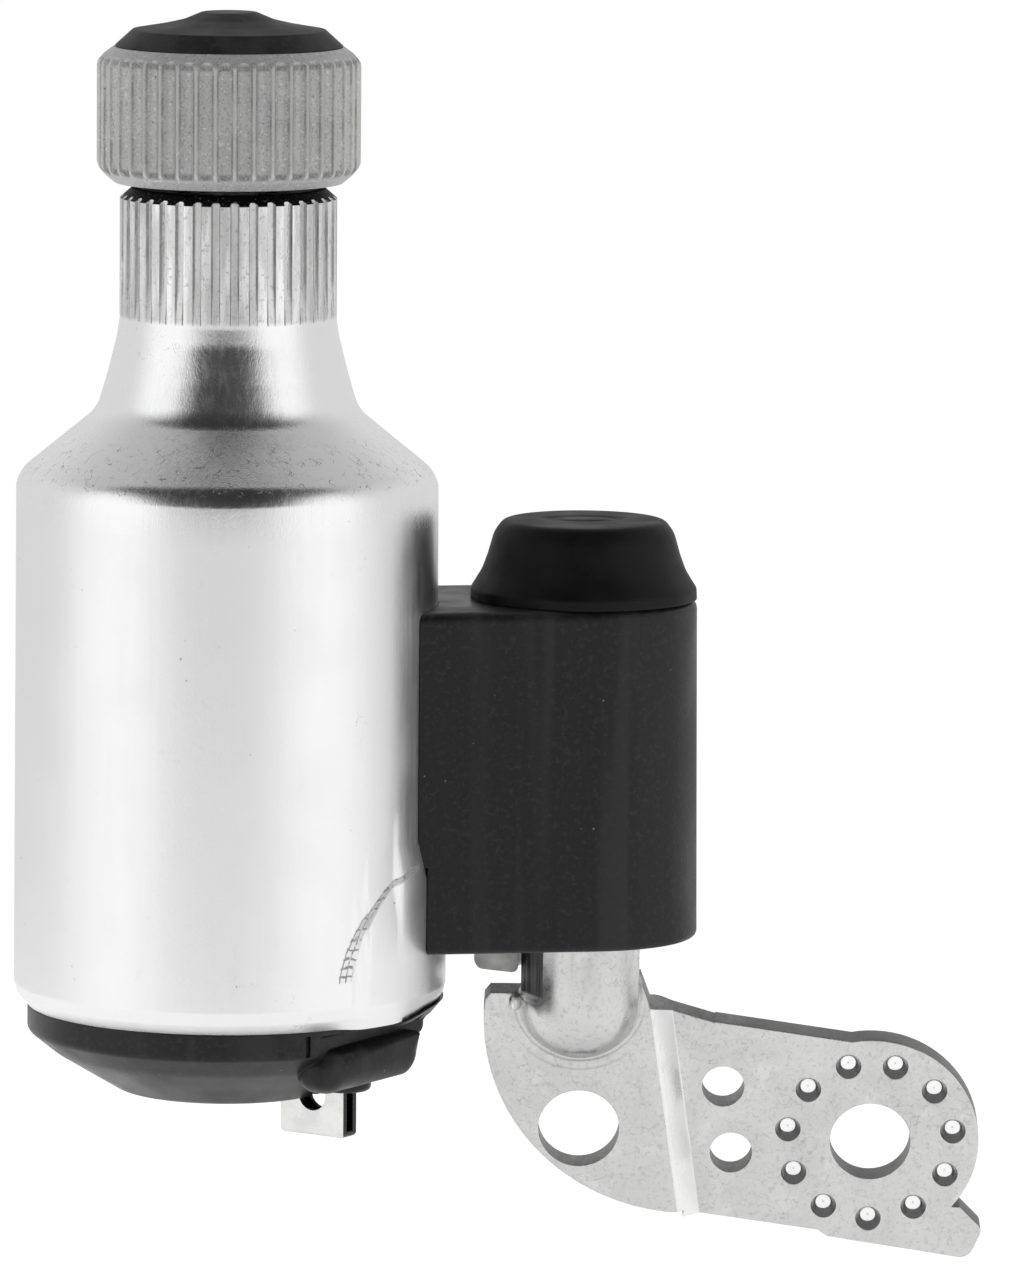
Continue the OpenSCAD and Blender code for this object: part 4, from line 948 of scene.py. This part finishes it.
def press_pips(mesh):
    """Turns the outer plate's raised grip pips into flat-bottomed dimples."""
    for vertex in mesh.vertices:
        p = (vertex.co - POST_ROOT) / MM
        out = p.dot(SHEET_OUT) + JOGGLE
        if out < 0.03:
            continue
        from_hole = Vector((p.x, p.dot(SHEET_UP))) - BOLT_HOLE
        if abs(from_hole.length - PIP_RING) > PIP_RADIUS + 0.05:
            continue
        for k in range(PIPS):
            turn = (k + 0.5) * math.tau / PIPS - ARM_FALL
            away = (from_hole - Vector((math.cos(turn), math.sin(turn))) * PIP_RING).length
            if away < PIP_RADIUS + 0.03:
                depth = PIP_DEPTH * min(max((PIP_RADIUS - away) / 0.45, 0), 1)
                vertex.co -= SHEET_OUT * (out + depth) * MM
                break


def weigh_edges(mesh):
    """Marks the bracket's sharp edges for softening, except on and beside the post."""
    sides = {}
    for face in mesh.polygons:
        for key in face.edge_keys:
            sides.setdefault(key, []).append(face.normal)
    weights = mesh.attributes.new("bevel_weight_edge", "FLOAT", "EDGE")
    for edge in mesh.edges:
        normals = sides[edge.key]
        ends = [(mesh.vertices[i].co - POST_ROOT) / MM for i in edge.vertices]
        clear = all(math.hypot(p.x, p.y) > 7.6 or p.z < -7.5 for p in ends)
        if clear and len(normals) == 2 and normals[0].angle(normals[1]) > math.radians(42):
            weights.data[edge.index].value = 1.0


class DYNAMO_OT_bracket(bpy.types.Operator):
    """Models the fork bracket's softened edges and the weld at its ear"""

    bl_idname = "dynamo.bracket"
    bl_label = "Fork bracket"

    def execute(self, context):
        steel = plated_steel("pressed_steel", True)
        piece = merged_copy("fork_bracket", "bracket_sheet")
        press_pips(piece.data)
        strip = shaped(bpy.ops.mesh.primitive_cube_add, lambda p: on_sheet(
            -7.05 + 3.7 * p.x, -0.45 + 2.1 * p.z, -1.4 + 2.8 * p.y), size=1)
        combined(piece, strip, "UNION")
        weigh_edges(piece.data)
        soft = piece.modifiers.new("soft", "BEVEL")
        soft.width, soft.segments, soft.limit_method = 0.16 * MM, 3, "WEIGHT"
        bpy.ops.object.modifier_apply(modifier=soft.name)
        finished(piece, "bracket", "plated_steel", steel, "fork_bracket", angle=24)

        def bead_point(p):
            rough = 1 + 0.16 * noise.noise(p * 2.3) + 0.07 * noise.noise(p * 6)
            return on_sheet(-6.5 + 0.62 * p.x * rough, -0.3 + 0.95 * p.z * rough, 0.05 - 0.5 * p.y * rough)

        bead = shaped(bpy.ops.mesh.primitive_ico_sphere_add, bead_point, subdivisions=4, radius=1.0)
        bead.name = bead.data.name = "weld_bead"
        finished(bead, "bracket", "plated_steel", steel, angle=60)
        return {"FINISHED"}


def studio_world(surround):
    """Surrounds the object with soft white panels and a dark strip overhead, as in a light tent."""
    world = bpy.data.worlds.new("studio_tent")
    bpy.context.scene.world = world
    world.use_nodes = True
    w = Nodes(world.node_tree, "ShaderNodeOutputWorld")
    x, y, z = w.node("ShaderNodeSeparateXYZ", Vector=w.node("ShaderNodeTexCoord").outputs["Generated"]).outputs
    azimuth = w.sum("ARCTAN2", x, w.both(y, -1.0))

    def panel(middle, half, soft):
        away = w.off(azimuth, math.radians(middle))
        return w.spread(away, math.radians(half + soft), math.radians(half - soft))

    # Two bright panels in front, and the surround that darkens upwards
    level = w.sum("MULTIPLY_ADD", w.spread(z, 0.35, 0.9), -0.3, surround)
    front = w.sum("ADD", panel(-62, 27, 13), panel(56, 24, 12))
    level = w.sum("MULTIPLY_ADD", w.both(front, w.spread(z, 0.85, 0.55)), 0.4, level)

    # The dark strip is an arch in front and a bar overhead
    wide = w.sum("ABSOLUTE", w.sum("ADD", x, 0.02))
    low = w.sum("DIVIDE", w.sum("MAXIMUM", w.sum("SUBTRACT", 0.5, z), 0.0), 0.42)
    across = w.sum("DIVIDE", wide, 0.72)
    arch = w.sum("SQRT", w.sum("MULTIPLY_ADD", low, low, w.both(across, across)))
    strip = w.both(w.spread(arch, 1.02, 0.66), w.spread(y, 0.1, -0.02))
    bar = w.both(w.spread(w.off(y, -0.03), 0.12, 0.04), w.spread(wide, 0.8, 0.5), w.spread(z, 0.2, 0.5))
    strip = w.sum("MAXIMUM", strip, bar)
    level = w.both(level, w.sum("MULTIPLY_ADD", strip, -0.94, 1.0))

    tent = w.node("ShaderNodeBackground", Strength=level)
    white = w.node("ShaderNodeBackground", Color=1.0)
    seen = w.node("ShaderNodeLightPath").outputs["Is Camera Ray"]
    choose = w.node("ShaderNodeMixShader")
    for socket, value in zip(choose.inputs, (seen, tent.outputs[0], white.outputs[0])):
        w.put(socket, value)
    w.put(w.output.inputs["Surface"], choose.outputs[0])


def aimed(name, data, place, ahead, roll=0.0):
    """Puts a lamp or the camera at a place, looking ahead."""
    made = bpy.data.objects.new(name, data)
    bpy.context.scene.collection.objects.link(made)
    made.location = place
    made.rotation_mode = "QUATERNION"
    facing = ahead.to_track_quat("-Z", "Y").to_matrix() @ Matrix.Rotation(roll, 3, "Z")
    made.rotation_quaternion = facing.to_quaternion()
    return made


class DYNAMO_OT_studio(bpy.types.Operator):
    """Adds the floor, the surround, the lamps and the camera"""

    bl_idname = "dynamo.studio"
    bl_label = "Set up the studio"

    def execute(self, context):
        settings = context.scene.dynamo_studio
        studio_world(settings.surround)

        deselect()
        middle = at_roller(28, 0, 40)
        bpy.ops.mesh.primitive_circle_add(
            vertices=128, radius=0.3, fill_type="NGON",
            location=(middle.x, middle.y, cad_low.z - settings.floor_drop))
        floor = context.object
        floor.name = "studio_floor"
        paper = Finish("studio_paper", settings.floor_colour)
        paper.set(Roughness=0.9, Specular_IOR_Level=0.1)
        rays = paper.node("ShaderNodeLightPath")
        camera_ray = paper.both(rays.outputs["Is Camera Ray"], 0.6)
        glow = paper.node("ShaderNodeEmission", Color=1.0, Strength=paper.sum(
            "MULTIPLY_ADD", rays.outputs["Is Glossy Ray"], 0.5, camera_ray))
        add = paper.node("ShaderNodeAddShader")
        paper.put(add.inputs[0], paper.surface.outputs[0])
        paper.put(add.inputs[1], glow.outputs[0])
        paper.put(paper.output.inputs["Surface"], add.outputs[0])
        floor.data.materials.append(paper.material)

        # Three soft lamps, which leave no reflections of their own
        for name, place, size, share in (
                ("key_lamp", (-1.05, -0.55, 0.45), (0.8, 1.0), 2.8),
                ("fill_lamp", (0.9, -0.75, 0.4), (0.6, 0.9), 1.8),
                ("back_lamp", (0.4, 1.0, 0.7), (0.9, 0.9), 1.6)):
            data = bpy.data.lights.new(name, "AREA")
            data.shape, data.energy = "RECTANGLE", share * settings.lamp_power
            data.size, data.size_y = size
            aimed(name, data, middle + Vector(place), -Vector(place)).visible_glossy = False

        data = bpy.data.cameras.new("camera")
        data.sensor_fit = "VERTICAL"
        data.sensor_width = data.sensor_height = 36
        focal_pixels, picture_height = 9447, 1280
        data.lens = focal_pixels / picture_height * data.sensor_height
        data.clip_start, data.clip_end = 0.05, 30
        pitch, roll, distance = math.radians(7.7), math.radians(0.45), 0.940
        ahead = Vector((0, math.cos(pitch), -math.sin(pitch)))
        camera = aimed("camera", data, at_roller(27.62, 0, 36.66) - ahead * distance, ahead, roll)
        context.scene.camera = camera
        context.scene.view_settings.view_transform = "Standard"
        return {"FINISHED"}


class DYNAMO_PT_pieces(bpy.types.Panel):
    """Lists the pieces and their settings"""

    bl_label = "Bottle dynamo"
    bl_idname = "DYNAMO_PT_pieces"
    bl_space_type = "VIEW_3D"
    bl_region_type = "UI"
    bl_category = "Dynamo"

    def draw(self, context):
        for group in SETTINGS:
            box = self.layout.box()
            for key in getattr(group, "__annotations__", {}):
                box.prop(getattr(context.scene, SETTINGS[group]), key)
        for operator in OPERATORS:
            self.layout.operator(operator.bl_idname)


SETTINGS = {
    StudioSettings: "dynamo_studio",
    MetalSettings: "dynamo_metal",
    BlackSettings: "dynamo_black",
    BottleSettings: "dynamo_bottle",
    RollerSettings: "dynamo_roller",
}
OPERATORS = (
    DYNAMO_OT_inner_pieces,
    DYNAMO_OT_bottle,
    DYNAMO_OT_roller,
    DYNAMO_OT_button_dome,
    DYNAMO_OT_cap,
    DYNAMO_OT_springs,
    DYNAMO_OT_bracket,
    DYNAMO_OT_studio,
)


def register():
    for group, name in SETTINGS.items():
        bpy.utils.register_class(group)
        setattr(bpy.types.Scene, name, PointerProperty(type=group))
    for operator in OPERATORS:
        bpy.utils.register_class(operator)
    bpy.utils.register_class(DYNAMO_PT_pieces)


def unregister():
    bpy.utils.unregister_class(DYNAMO_PT_pieces)
    for operator in reversed(OPERATORS):
        bpy.utils.unregister_class(operator)
    for group, name in SETTINGS.items():
        delattr(bpy.types.Scene, name)
        bpy.utils.unregister_class(group)


def main():
    register()
    for operator in OPERATORS:
        module, name = operator.bl_idname.split(".")
        getattr(getattr(bpy.ops, module), name)()


if __name__ == "__main__":
    main()
